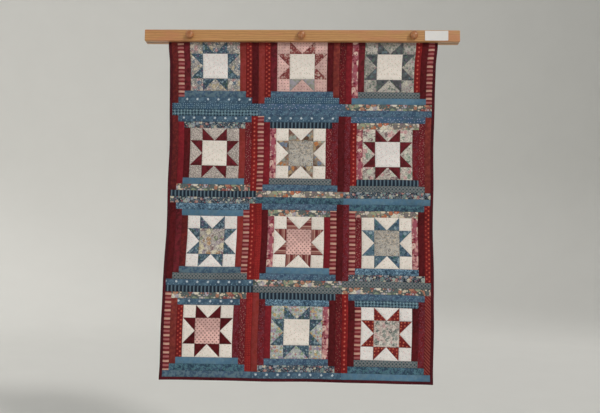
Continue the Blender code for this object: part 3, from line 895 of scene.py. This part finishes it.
def plate_screw(side, end, slot_turn):
    """A slotted countersunk wood screw."""
    low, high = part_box(f"plate_screw_{side}_{end}")
    at = wall_side(low, high)
    radius, length = (high.x - low.x) / 2, high.y - low.y
    shank, pitch = radius * 0.54, 0.0013
    profile = [(0, 0.00004), (radius * 0.7, 0.00006), (radius - 0.00012, 0.0001), (radius, 0.0003)]
    profile += [(shank, 0.0018)]
    for k in range(int((length - 0.0045) / pitch)):
        out = 0.0022 + k * pitch
        profile += [(shank * 0.74, out), (shank * 0.74, out + pitch * 0.45), (shank, out + pitch * 0.7)]
    profile += [(shank * 0.6, length - 0.0016), (0, length)]
    screw = lathe(f"screw_{side}_{end}", profile, 40, at, ZINC)
    reach, half = radius * 1.2, 0.00042
    slot = add_object("cutter", box_mesh("cutter", (-reach, -0.0009, -half), (reach, 0.001, half)))
    slot.data.transform(Matrix.Translation(at) @ Matrix.Rotation(slot_turn, 4, "Y"))
    cut(screw, [slot])
    sharpen(screw, 38)
    settle(screw, "root", f"plate_screw_{side}_{end}")


def label_card():
    """A blank card with cut corners, lifting a little from the board."""
    low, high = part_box("label_card")
    columns, rows, corner = 45, 20, 0.0022
    u, v = grid_of(np.arange(columns + 1) / columns, np.arange(rows + 1) / rows)
    x, z = low.x + (high.x - low.x) * u, low.z + (high.z - low.z) * v
    near_x = np.maximum(corner - np.minimum(x - low.x, high.x - x), 0)
    near_z = np.maximum(corner - np.minimum(z - low.z, high.z - z), 0)
    pull = 1 - corner / np.maximum(np.hypot(near_x, near_z), corner)
    x += near_x * pull * np.where(u < 0.5, 1, -1)
    z += near_z * pull * np.where(v < 0.5, 1, -1)
    lift = 0.0011 * (2 * np.abs(u - 0.5)) ** 4 * (0.4 + 0.6 * v) + 0.0002 * np.sin(9 * u)
    lift = np.maximum(lift, 0)
    front, back = [np.stack([x, y - lift, z], 1) for y in (low.y, high.y)]
    card = slab("card_sheet", front, back, columns, rows, CARD, 40)
    settle(card, "front_board", "label_card")


def keep_node(name, material):
    """A CAD piece whose shape is right, with its fine look."""
    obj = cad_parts[name]
    obj.data.materials.clear()
    obj.data.materials.append(material)
    weld = obj.modifiers.new("Weld", "WELD")
    weld.merge_threshold = 0.000005
    for polygon in obj.data.polygons:
        polygon.use_smooth = False


def rack():
    keep_node("back_rail", BACK_WOOD)
    keep_node("top_spacer", SPACER_WOOD)
    keep_node("back_felt", FELT)
    keep_node("front_felt", FELT)
    front_board()
    label_card()
    for side in ("left", "middle", "right"):
        bolt(side)
        knob(side)
    for side in ("left", "right"):
        hanger(side)
        plate_screw(side, "inner", 0.6)
        plate_screw(side, "outer", -0.9)


# --------------------------------------------------------------------------- the cut of the quilt

MIDDLE = GRID // 2
FIRST_POINT = 9  # patch numbers from which the star's points and the logs start
FIRST_LOG = 17
PATCHES = FIRST_LOG + 4 * LOG_ROUNDS


def side_of(upright, x, y):
    """0 top, 1 right, 2 bottom, 3 left."""
    return np.where(upright, np.where(y > 0, 0, 2), np.where(x > 0, 1, 3))


def patch_at(a, b):
    """Number of the patch at a place of a block, counted in log widths from its corner.

    0 the middle, 1-4 the corners, 5-8 the star's ground triangles, 9-16 its points, then the
    logs, four a round. Sides go top, right, bottom, left.
    """
    x, y = a - MIDDLE, b - MIDDLE
    ax, ay = np.abs(x), np.abs(y)
    out = np.maximum(ax, ay)
    # In the ring between the middle square and the star's edge
    upright = ay > PATCH
    side = side_of(upright, x, y)
    depth, along = np.where(upright, ay, ax) - PATCH, np.where(upright, ax, ay)
    half = np.where(upright, x > 0, y > 0).astype(int)
    ring = np.where(depth > along, 5 + side, FIRST_POINT + 2 * side + half)
    ring = np.where((ax > PATCH) & upright, 1 + (x > 0) + 2 * (y > 0), ring)
    star = np.where(out < PATCH, 0, ring)
    round_x, round_y = [np.ceil(v - STAR_HALF).astype(int) for v in (ax, ay)]
    log = FIRST_LOG + 4 * (np.maximum(round_x, round_y) - 1) + side_of(round_y >= round_x, x, y)
    return np.where(out < STAR_HALF, star, log)


def seam_lines():
    """Every seam of a block as (x0, y0, x1, y1) in log widths."""
    m, lines = MIDDLE, []
    low, high = m - STAR_HALF, m + STAR_HALF
    for place in (low, m - PATCH, m + PATCH, high):
        lines += [(place, low, place, high), (low, place, high, place)]
    for sign in (-1, 1):
        near, far = m + PATCH * sign, m + STAR_HALF * sign
        for turn in (-1, 1):
            lines += [(m, near, m + PATCH * turn, far), (near, m, far, m + PATCH * turn)]
    for reach in range(STAR_HALF + 1, STAR_HALF + LOG_ROUNDS + 1):
        for sign in (-1, 1):
            place, inner = m + reach * sign, m + (reach - 1) * sign
            lines += [(place, m - reach + 1, place, m + reach - 1), (m - reach, inner, m + reach, inner)]
    for place in (0, GRID):
        lines += [(place, 0, place, GRID), (0, place, GRID, place)]
    return np.array(lines, float)


SEAMS = seam_lines()


def to_seams(x, y):
    """Distance to every seam, and the place along each, in log widths."""
    x0, y0, x1, y1 = SEAMS.T
    dx, dy = x1 - x0, y1 - y0
    run = np.hypot(dx, dy)
    px, py = x[:, None] - x0, y[:, None] - y0
    along = (px * dx + py * dy) / run
    held = np.clip(along, 0, run)
    return np.hypot(px - held * dx / run, py - held * dy / run), along


def seam_map(x, y, seam):
    """Distance to one seam and the place along it, in metres, a seam for each point."""
    away, along = to_seams(x, y)
    pick = (np.arange(len(x)), seam)
    return np.stack([away[pick], along[pick]], 1) * LOG


def relief(x, y, seed):
    """Puff and pucker of a block at places in log widths: (puff 0 to 1, pucker -1 to 1)."""
    nearest = to_seams(x, y)[0].argmin(1)
    distance, place = seam_map(x, y, nearest).T
    puff = 1 - (1 - np.clip(distance / PUFF_REACH, 0, 1)) ** 2.2
    phase = nearest * 2.4 + seed
    beat = 2 * pi * place / PUCKER_PITCH
    wave = np.sin(beat + 1.7 * np.sin(beat * 0.21 + phase) + phase)
    wave = wave * (0.6 + 0.4 * np.sin(beat * 0.137 + 2 * phase))
    fade = np.exp(-distance / PUCKER_REACH) * distance / (distance + 0.0012)
    slow = 0.16 * np.sin(x * 1.31 + seed * 3.1) * np.sin(y * 1.13 + seed * 1.7)
    return puff * (1 + slow), wave * fade * 2.2


def block_cells():
    """Faces of a block's grid: squares, and the squares on the star's slanting seams in two."""
    count = GRID * STEPS
    i, j = grid_of(np.arange(count), np.arange(count))
    x, y = (i + 0.5) / STEPS - MIDDLE, (j + 0.5) / STEPS - MIDDLE
    least, most = np.minimum(np.abs(x), np.abs(y)), np.maximum(np.abs(x), np.abs(y))
    depth = most - PATCH
    slanting = (least < PATCH) & (most < STAR_HALF) & (np.abs(depth - least) < 0.25 / STEPS) & (depth > 0)
    row = count + 1
    a = i * row + j
    b, c, d = a + row, a + row + 1, a + 1
    up, down = slanting & (x * y > 0), slanting & (x * y <= 0)
    halves = [np.stack([a, b, c], 1)[up], np.stack([a, c, d], 1)[up]]
    halves += [np.stack([a, b, d], 1)[down], np.stack([b, c, d], 1)[down]]
    return np.stack([a, b, c, d], 1)[~slanting], np.concatenate(halves)


# Fabrics of each block: middle, ground, points; left logs, right logs, top logs, bottom logs,
# each from the star outwards.
PATCHWORK = {
    (1, 1): (
        ("white print", "cream floral", "slate print"),
        ("burgundy", "ladder", "brown burgundy"), ("brick", "orange dots", "deep burgundy"),
        ("blue", "swirl blue", "star flowers"), ("slate", "star flowers", "tiny dots"),
    ),
    (1, 2): (
        ("cream", "dusty pink", "rose mottled"),
        ("burgundy", "orange dots", "brick"), ("deep burgundy", "brown red", "flecked dark"),
        ("steel blue", "scallop", "lilac flecks"), ("blue", "tiny dots", "lilac flecks"),
    ),
    (1, 3): (
        ("cream", "grey print", "charcoal print"),
        ("burgundy", "magenta floral", "crimson"), ("orange row", "deep burgundy", "ladder"),
        ("slate", "tiny dots", "teal"), ("scallop", "steel blue", "bright floral"),
    ),
    (2, 1): (
        ("cream", "grey speckle", "burgundy"),
        ("deep burgundy", "crimson", "brown burgundy"), ("brick", "flecked burgundy", "orange row"),
        ("navy floral", "star flowers", "dark dots"), ("steel blue", "bright floral", "ticking"),
    ),
    (2, 2): (
        ("taupe swirl", "cream", "brown floral"),
        ("magenta floral", "crimson", "ladder"), ("flecked burgundy", "plum", "deep burgundy"),
        ("ticking", "star flowers", "blue"), ("scallop", "blue", "pale floral"),
    ),
    (2, 3): (
        ("white print", "green pink floral", "burgundy"),
        ("magenta floral", "orange row", "plum"), ("plum", "flecked burgundy", "brown red"),
        ("pale floral", "lilac flecks", "blue"), ("ticking", "scallop", "navy floral"),
    ),
    (3, 1): (
        ("mixed floral", "white print", "slate print"),
        ("brown burgundy", "burgundy", "deep burgundy"), ("brick", "ladder", "orange row"),
        ("steel blue", "swirl blue", "navy floral"), ("slate", "scallop", "star flowers"),
    ),
    (3, 2): (
        ("pink dot", "cream", "maroon bars"),
        ("magenta floral", "deep burgundy", "red"), ("crimson", "ladder", "deep burgundy"),
        ("bright floral", "blue", "teal"), ("steel blue", "blue", "bright floral"),
    ),
    (3, 3): (
        ("taupe swirl", "cream", "teal print"),
        ("flecked burgundy", "ladder", "plum"), ("magenta floral", "deep burgundy", "orange dots"),
        ("pale floral", "teal", "steel blue"), ("swirl blue", "navy floral", "scallop"),
    ),
    (4, 1): (
        ("pink dot", "cream", "deep burgundy"),
        ("orange dots", "brown red", "ladder"), ("plum", "flecked burgundy", "red"),
        ("star flowers", "bright floral", "ticking"), ("steel blue", "teal", "slate"),
    ),
    (4, 2): (
        ("cream", "fine print", "slate print"),
        ("crimson", "plum", "brick"), ("magenta floral", "deep burgundy", "flecked dark"),
        ("swirl blue", "ticking", "scallop"), ("blue", "navy floral", "star flowers"),
    ),
    (4, 3): (
        ("grey floral", "white print", "red print"),
        ("ladder", "deep burgundy", "orange row"), ("deep burgundy", "plum", "brick twill"),
        ("dark dots", "blue", "bright floral"), ("scallop", "teal", "steel blue"),
    ),
}
# Points cut from another cloth than the rest of their star: block, then patch numbers
ODD_POINTS = {(1, 2): {13: "pale teal", 14: "pale teal"}}
BARRED = (3, 2)  # the block whose points are cut from bars
BARS_LEVEL = (9, 10, 11, 15)  # its points whose bars lie level


def patch_fabrics(block):
    """The fabric of every patch number of a block."""
    (middle, ground, points), left, right, top, bottom = PATCHWORK[block]
    names = [middle] + [ground] * 8 + [points] * 8
    for ring in range(LOG_ROUNDS):
        names += [logs[ring] for logs in (top, right, bottom, left)]
    for patch, name in ODD_POINTS.get(block, {}).items():
        names[patch] = name
    return names


def cloth_map(x, y, patch, block):
    """Where each point lies on its own cloth. Logs are cut along their length."""
    draw = np.random.RandomState(100 * block[0] + block[1]).uniform(0, 1, (PATCHES, 2))[patch]
    side, ring = (patch - FIRST_LOG) % 4, (patch - FIRST_LOG) // 4 + 1
    star = patch < FIRST_LOG
    reach = MIDDLE + (STAR_HALF + ring - 0.5) * np.where(side < 2, 1, -1)
    moved = draw * 40 * (patch > 0)[:, None]
    level = side % 2 == 0
    u = np.where(star, x - MIDDLE + moved[:, 0], np.where(level, x, y) + draw[:, 0] * 9)
    v = np.where(star, y - MIDDLE + moved[:, 1], np.where(level, y, x) - reach)
    if block == BARRED:
        point, across = (patch >= FIRST_POINT) & star, np.isin(patch, BARS_LEVEL)
        u = np.where(point, np.where(across, y, x), u)
        v = np.where(point, np.where(across, x, y), v)
    return np.stack([u, v], 1) * LOG


# --------------------------------------------------------------------------- the hang of the quilt


def clamp_path():
    """The cloth's middle from the hinge up, over the fold and down the flap: arc, y, z."""
    low_fold = HEAD_TOP - (head_high.y - head_low.y) / 2
    radius = (head_high.y - head_low.y) / 4
    front, back = HEAD_Y - radius, HEAD_Y + radius
    drop = np.linspace(0, 1, 24)
    turn = np.linspace(0, pi, 32)
    ease = smooth(drop)
    y = [PANEL_Y + (front - PANEL_Y) * ease, np.full(40, front), HEAD_Y - radius * np.cos(turn)]
    y += [np.full(40, back), back + (FLAP_Y - back) * ease, np.full(60, FLAP_Y)]
    z = [HINGE + (CLAMP_FOOT - HINGE) * drop, np.linspace(CLAMP_FOOT, low_fold, 40)]
    z += [low_fold + radius * np.sin(turn), np.linspace(low_fold, CLAMP_FOOT, 40)]
    z += [CLAMP_FOOT + (HINGE - CLAMP_FOOT) * drop, np.linspace(HINGE, FLAP_FOOT, 60)]
    y, z = np.concatenate(y), np.concatenate(z)
    keep = np.concatenate([[True], np.hypot(np.diff(y), np.diff(z)) > 1e-7])
    y, z = y[keep], z[keep]
    arc = np.concatenate([[0], np.cumsum(np.hypot(np.diff(y), np.diff(z)))])
    return arc, y, z


PATH_ARC, PATH_Y, PATH_Z = clamp_path()
PATH_SCALE = PATH_ARC[-1] / (TOP_RUN + BINDING)
APEX = PATH_ARC[np.argmax(PATH_Z)] / PATH_SCALE  # cloth from the hinge to the top of the fold
SQUEEZED = (CLAMP_FOOT - HINGE) / PATH_SCALE


def middle_surface(u, t):
    """Where the sandwich's middle hangs. Broadcasts over arrays."""
    drop = np.maximum(-t, 0)
    hang = smooth(drop / WAVE_START)
    low = smooth((drop - 0.5) / 0.8)
    s = u / EDGE
    fold = 0.0030 * np.sin(2 * pi * (u / 0.47 + 0.12 * drop) + 0.7)
    fold += 0.0018 * np.sin(2 * pi * (u / 0.245 - 0.2 * drop) + 2.3)
    fold += 0.0022 * np.sin(2 * pi * drop / 0.72 + 3.1 * u + 0.4)
    fold += low * (0.0028 * np.sin(2 * pi * u / 0.39 + 1.1) - 0.004)
    curl = 0.0035 * np.clip(np.abs(s), 0, 1) ** 14 * smooth(drop / 0.2)
    hem = 0.0030 * smooth((drop - PIECED_DROP + 0.05) / 0.07)
    drawn = smooth(drop / 0.4) * (1 - 0.85 * smooth((drop - 0.72) / 0.24))
    waist = (WAIST / 3 - WAIST * s - 0.9 * WAIST * s**3) * drawn
    below = np.where(t > APEX, t - 2 * APEX, -t)
    flare = FLARE * s * (1 - smooth(below / 0.085))
    sway = 0.0008 * np.sin(7.3 * u + 5.1 * drop + 0.4) + 0.0009 * np.sin(3.1 * u - 23.0 * drop)
    sag = 0.0010 * np.sin(5.9 * u + 0.8) + 0.0010 * np.sin(13.7 * u + 4.0 * drop)
    slip = (0.0028 + 0.0025 * s) * smooth(drop / 0.12) + 0.004 * smooth((drop - 1.1) / 0.2)
    x = u + SHIFT + LEAN * drop + waist + flare + sway * hang
    y = PANEL_Y + fold * hang - curl - hem
    z = HINGE - drop * GIVE - slip + sag * hang
    arc = np.clip(t, 0, None) * PATH_SCALE
    y = np.where(t > 0, np.interp(arc, PATH_ARC, PATH_Y), y)
    z = np.where(t > 0, np.interp(arc, PATH_ARC, PATH_Z), z)
    return np.stack([x, y, z], -1)


def hung(u, t, out):
    """Hung place of a point of the cut that lies some way out of the sandwich's middle."""
    u, t, out = np.broadcast_arrays(np.asarray(u, float), np.asarray(t, float), out)
    e = 0.0006
    across = middle_surface(u + e, t) - middle_surface(u - e, t)
    up = middle_surface(u, t + e) - middle_surface(u, t - e)
    normal = np.cross(across, up)
    normal /= np.linalg.norm(normal, axis=-1, keepdims=True)
    return middle_surface(u, t) + normal * out[..., None]


def openness(t):
    """0 where the clamp squeezes the layers, 1 where they are free."""
    front = smooth((SQUEEZED * 0.6 - t) / 0.026)
    flap = smooth((t - (2 * APEX - SQUEEZED * 0.6)) / 0.020)
    return np.maximum(front, flap)


def half_thickness(t, free):
    return PRESSED_HALF + (free - PRESSED_HALF) * openness(t)


# --------------------------------------------------------------------------- cloth pieces

FOLD_ROW = int(round((TOP_ROW_DROP + APEX) / LOG * STEPS))
BACK_STEP = LOG / BACK_STEPS


def pieced(name, row, column, low_row=0, high_row=GRID * STEPS):
    """The pieced top of one block between two grid rows, with its fabrics."""
    i, j = grid_of(np.arange(GRID * STEPS + 1), np.arange(GRID * STEPS + 1))
    x, y = i / STEPS, j / STEPS
    u = (column - 1 - COLUMNS / 2) * BLOCK + x * LOG
    t = -TOP_ROW_DROP - (row - 1) * BLOCK + y * LOG
    puff, pucker = relief(x, y, row * 1.37 + column * 0.61)
    points = hung(u, t, half_thickness(t, TOP_AT_STITCH + TOP_PUFF * puff + PUCKER * pucker))
    kept = [f[(j[f].min(1) >= low_row) & (j[f].max(1) <= high_row)] for f in block_cells()]
    centre_x, centre_y = [np.concatenate([v[f].mean(1) for f in kept]) for v in (x, y)]
    patch = patch_at(centre_x, centre_y)
    nearest = to_seams(centre_x, centre_y)[0].argmin(1)
    sizes = np.concatenate([np.full(len(f), f.shape[1]) for f in kept])
    corner = np.concatenate([f.ravel() for f in kept])
    face_of = np.repeat(np.arange(len(sizes)), sizes)
    uv = cloth_map(x[corner], y[corner], patch[face_of], (row, column))
    seam = seam_map(x[corner], y[corner], nearest[face_of])
    used_points, index = np.unique(corner, return_inverse=True)
    faces = [face.tolist() for face in np.split(index.reshape(-1), np.cumsum(sizes)[:-1])]
    mesh = mesh_of(name, points[used_points], faces, uv, seam)
    names = patch_fabrics((row, column))
    used = sorted({names[k] for k in np.unique(patch)})
    lookup = np.array([used.index(fabric) if fabric in used else 0 for fabric in names], np.int32)
    obj = add_object(name, mesh, *[FABRICS[fabric] for fabric in used])
    mesh.polygons.foreach_set("material_index", lookup[patch])
    return obj


def blocks():
    """The pieced top: one piece a block, the top row's running up into the clamp."""
    made = []
    for row in range(1, ROWS + 1):
        for column in range(1, COLUMNS + 1):
            place = f"r{row}c{column}"
            if row == 1:
                body, top = "bend", pieced("star_block_" + place, row, column, 0, FOLD_ROW)
            else:
                body, top = "quilt_drop", pieced("star_block_" + place, row, column)
            made.append(settle(top, body, "block_" + place))
    return made


def lining(t):
    """The plain back at places up the cut: its points, flat and hung, and its faces."""
    columns, rows = COLUMNS * GRID * BACK_STEPS, len(t) - 1
    u, t = grid_of(-PIECED_HALF + np.arange(columns + 1) * BACK_STEP, t)
    x, y = (u + PIECED_HALF) / LOG, (t + PIECED_DROP) / LOG
    puff, pucker = relief(np.mod(x, GRID), np.mod(y, GRID), 0.9)
    out = half_thickness(t, BACK_AT_STITCH + BACK_PUFF * puff + 0.7 * PUCKER * pucker)
    return np.stack([u, t], 1), hung(u, t, -out), grid_faces(columns, rows)


def backing():
    """The plain back of the hanging part, puckered by the quilting."""
    rows = int(round((PIECED_DROP + APEX) / BACK_STEP))
    flat, points, faces = lining(-PIECED_DROP + np.arange(rows + 1) * BACK_STEP)
    pieced_corner = np.array([PIECED_HALF, PIECED_DROP])
    centre = (flat[faces].mean(1) + pieced_corner) / LOG
    in_block = np.mod(centre, GRID)
    x, y = in_block.T
    # Each square is split along the way the star's slanting seams run there
    rising = (x - MIDDLE) * (y - MIDDLE) > 0
    faces = np.where(rising[:, None], faces[:, [0, 3, 2, 1]], faces[:, [1, 0, 3, 2]])
    nearest = to_seams(x, y)[0].argmin(1)
    corners = (flat[faces] + pieced_corner) / LOG - (centre - in_block)[:, None]
    seam = seam_map(*corners.reshape(-1, 2).T, np.repeat(nearest, 4))
    mesh = mesh_of("backing_cloth", points, faces.tolist(), flat[faces.ravel()], seam)
    return settle(add_object("backing_cloth", mesh, BACKING_CLOTH), "bend", "backing")


def batting_sheet(name, low, high, step):
    """A closed sheet of batting about the middle surface."""
    half_width = PIECED_HALF - 0.001
    columns, rows = int(2 * half_width / step), max(2, int((high - low) / step))
    u, t = grid_of(np.linspace(-half_width, half_width, columns + 1), np.linspace(low, high, rows + 1))
    front, back = [hung(u, t, np.full(u.shape, half)) for half in (BATTING_HALF, -BATTING_HALF)]
    return slab(name, front, back, columns, rows, BATTING)


def strip(name, along, place, closed_ends=False):
    """A folded binding strip round an edge of the sandwich.

    along holds the places along the edge, and place turns (along, across) into the cut's
    (u, t), with across counted outwards from the pieced edge.
    """
    count = 17
    turn = np.linspace(0, pi, count)
    reach = np.sign(np.sin(turn)) * np.abs(np.sin(turn)) ** 0.55
    lift = np.sign(np.cos(turn)) * np.abs(np.cos(turn)) ** 0.62
    a, k = np.meshgrid(along, np.arange(count), indexing="ij")
    shrink = np.ones_like(a)
    if closed_ends:
        for end in (along[0], along[-1]):
            near = 1 - np.clip(np.abs(a - end) / 0.0022, 0, 1)
            shrink *= np.sqrt(np.clip(1 - near**2, 0.0004, 1))
    across = -0.0006 + (BINDING + 0.0006) * reach[k]
    ripple = np.sin(2 * pi * a / 0.0094 + 1.6 * np.sin(a * 61)) * (0.3 + 0.7 * np.abs(lift[k]))
    u, t = place(a, across)
    half = half_thickness(t, BINDING_HALF) + 0.00008
    out = (half * lift[k] + np.sign(lift[k]) * 0.00025 * ripple * openness(t)) * shrink
    faces = grid_faces(len(along) - 1, count - 1)
    uv = np.stack([a.ravel(), across.ravel() + k.ravel() * 0.0012], 1)[faces.ravel()]
    seam = np.full((len(faces) * 4, 2), 0.01)
    mesh = mesh_of(name, hung(u, t, out).reshape(-1, 3), faces.tolist(), uv, seam)
    turn_outward(mesh)
    return add_object(name, mesh, BINDING_CLOTH)


def bindings():
    made = []
    step = 0.0024
    for side, sign in (("left", -1), ("right", 1)):

        def beside(a, w, sign=sign):
            return sign * (PIECED_HALF + w), a

        along = np.arange(-PIECED_DROP - 0.001, APEX + step / 2, step)
        along[-1] = APEX
        piece = strip(f"side_binding_{side}", along, beside)
        made.append(settle(piece, "bend", f"binding_{side}"))
        along = np.append(np.arange(APEX, TOP_RUN, step), TOP_RUN + 0.001)
        made.append(settle(strip(f"flap_binding_{side}", along, beside), "root"))
    across = np.linspace(-EDGE, EDGE, 430)
    foot = strip("bottom_binding", across, lambda a, w: (a, -PIECED_DROP - w), True)
    made.append(settle(foot, "quilt_drop", "binding_bottom"))
    top = strip("top_binding", across, lambda a, w: (a, TOP_RUN + w), True)
    made.append(settle(top, "root", "binding_top"))
    return made


def flap():
    """The turned-back top of the quilt behind the clamp, and its backing."""
    made = []
    for column in range(1, COLUMNS + 1):
        obj = pieced(f"turned_back_c{column}", 1, column, FOLD_ROW)
        made.append(settle(obj, "root", "turned_back_flap" if column == 2 else None))
    rows = int(round((TOP_RUN - APEX) / BACK_STEP))
    flat, points, faces = lining(TOP_RUN - np.arange(rows, -1, -1) * (TOP_RUN - APEX) / rows)
    faces = faces[:, ::-1]
    uv = flat[faces.ravel()]
    mesh = mesh_of("flap_backing", points, faces.tolist(), uv, np.full((len(uv), 2), 0.01))
    made.append(settle(add_object("flap_backing", mesh, BACKING_CLOTH), "root"))
    return made


def quilt():
    back = backing()
    pieces = blocks() + bindings() + flap()
    batting = batting_sheet("batting_sheet", -PIECED_DROP + 0.001, SQUEEZED, 0.008)
    pieces.append(settle(batting, "bend", "batting"))
    heading = batting_sheet("heading_batting", SQUEEZED + 0.0004, TOP_RUN - 0.001, 0.0008)
    pieces.append(settle(heading, "root", "folded_heading"))


# --------------------------------------------------------------------------- stage, lights, camera

FLOOR_HEIGHT = -1.9


def light(name, kind, power, colour):
    data = bpy.data.lights.new(name, kind)
    data.energy = power
    data.color = colour
    return add_object(name, data)


def sun(name, towards, power, colour):
    obj = light(name, "SUN", power, colour)
    obj.data.angle = radians(9)
    obj.rotation_euler = Vector(towards).to_track_quat("Z", "Y").to_euler()


def studio():
    """A pale floor whose rim curves up into a wall all round, well away from the quilt."""
    radius, reach, rise = 2.4, 8.0, 9.0
    turn = [radians(90 * i / 16) for i in range(17)]
    bowl = [(0, FLOOR_HEIGHT)]
    bowl += [(reach - radius + radius * sin(a), FLOOR_HEIGHT + radius * (1 - cos(a))) for a in turn]
    bowl += [(reach, FLOOR_HEIGHT + rise)]
    paper = Look("studio paper", 0.95)
    colour = paper.mix(paper.noise(paper.place(), 3, 2), tone("d2d2cf"), tone("d6d6d3"))
    floor = lathe("studio_floor", bowl, 96, (0, 0, 0), paper.finish(colour))
    floor.data.transform(Matrix.Rotation(-pi / 2, 4, "X"))
    floor.data.flip_normals()
    floor.visible_shadow = False  # The suns shine over its rim
    world = bpy.data.worlds.new("studio")
    world.cycles.sampling_method = "NONE"
    bpy.context.scene.world = world
    world.use_nodes = True
    background = world.node_tree.nodes["Background"]
    background.inputs["Color"].default_value = (0.95, 0.97, 1.0, 1)
    background.inputs["Strength"].default_value = 0.29
    sun("front sun", (1.0, -1.1, 0.92), 1.45, (1, 0.97, 0.93))
    sun("back sun", (1.2, 1.0, 0.80), 1.35, (1, 0.98, 0.95))
    lamp = light("camera light", "AREA", 5.5, (1, 0.98, 0.95))
    lamp.data.shape = "RECTANGLE"
    lamp.data.size, lamp.data.size_y = 0.35, 0.25
    lamp.location = (0.25, -2.6, -0.6)
    lamp.rotation_euler = (Vector((0, 0, -0.55)) - lamp.location).to_track_quat("-Z", "Y").to_euler()
    lamp.visible_camera = False


def camera():
    data = bpy.data.cameras.new("camera")
    data.sensor_width = 36
    data.lens = 38.2
    data.clip_end = 60
    obj = add_object("camera", data)
    obj.location = (0.0622, -2.4562, -0.8242)
    yaw, pitch, roll = radians(-1.436), radians(3.568), radians(0.637)
    forward = Vector((sin(yaw) * cos(pitch), cos(yaw) * cos(pitch), sin(pitch)))
    level = forward.cross(Vector((0, 0, 1))).normalized()
    right = level * cos(roll) + level.cross(forward) * sin(roll)
    obj.rotation_euler = Matrix((right, right.cross(forward), -forward)).transposed().to_euler()
    bpy.context.scene.camera = obj


bpy.context.scene.view_settings.view_transform = "Standard"
camera()
studio()
rack()
quilt()
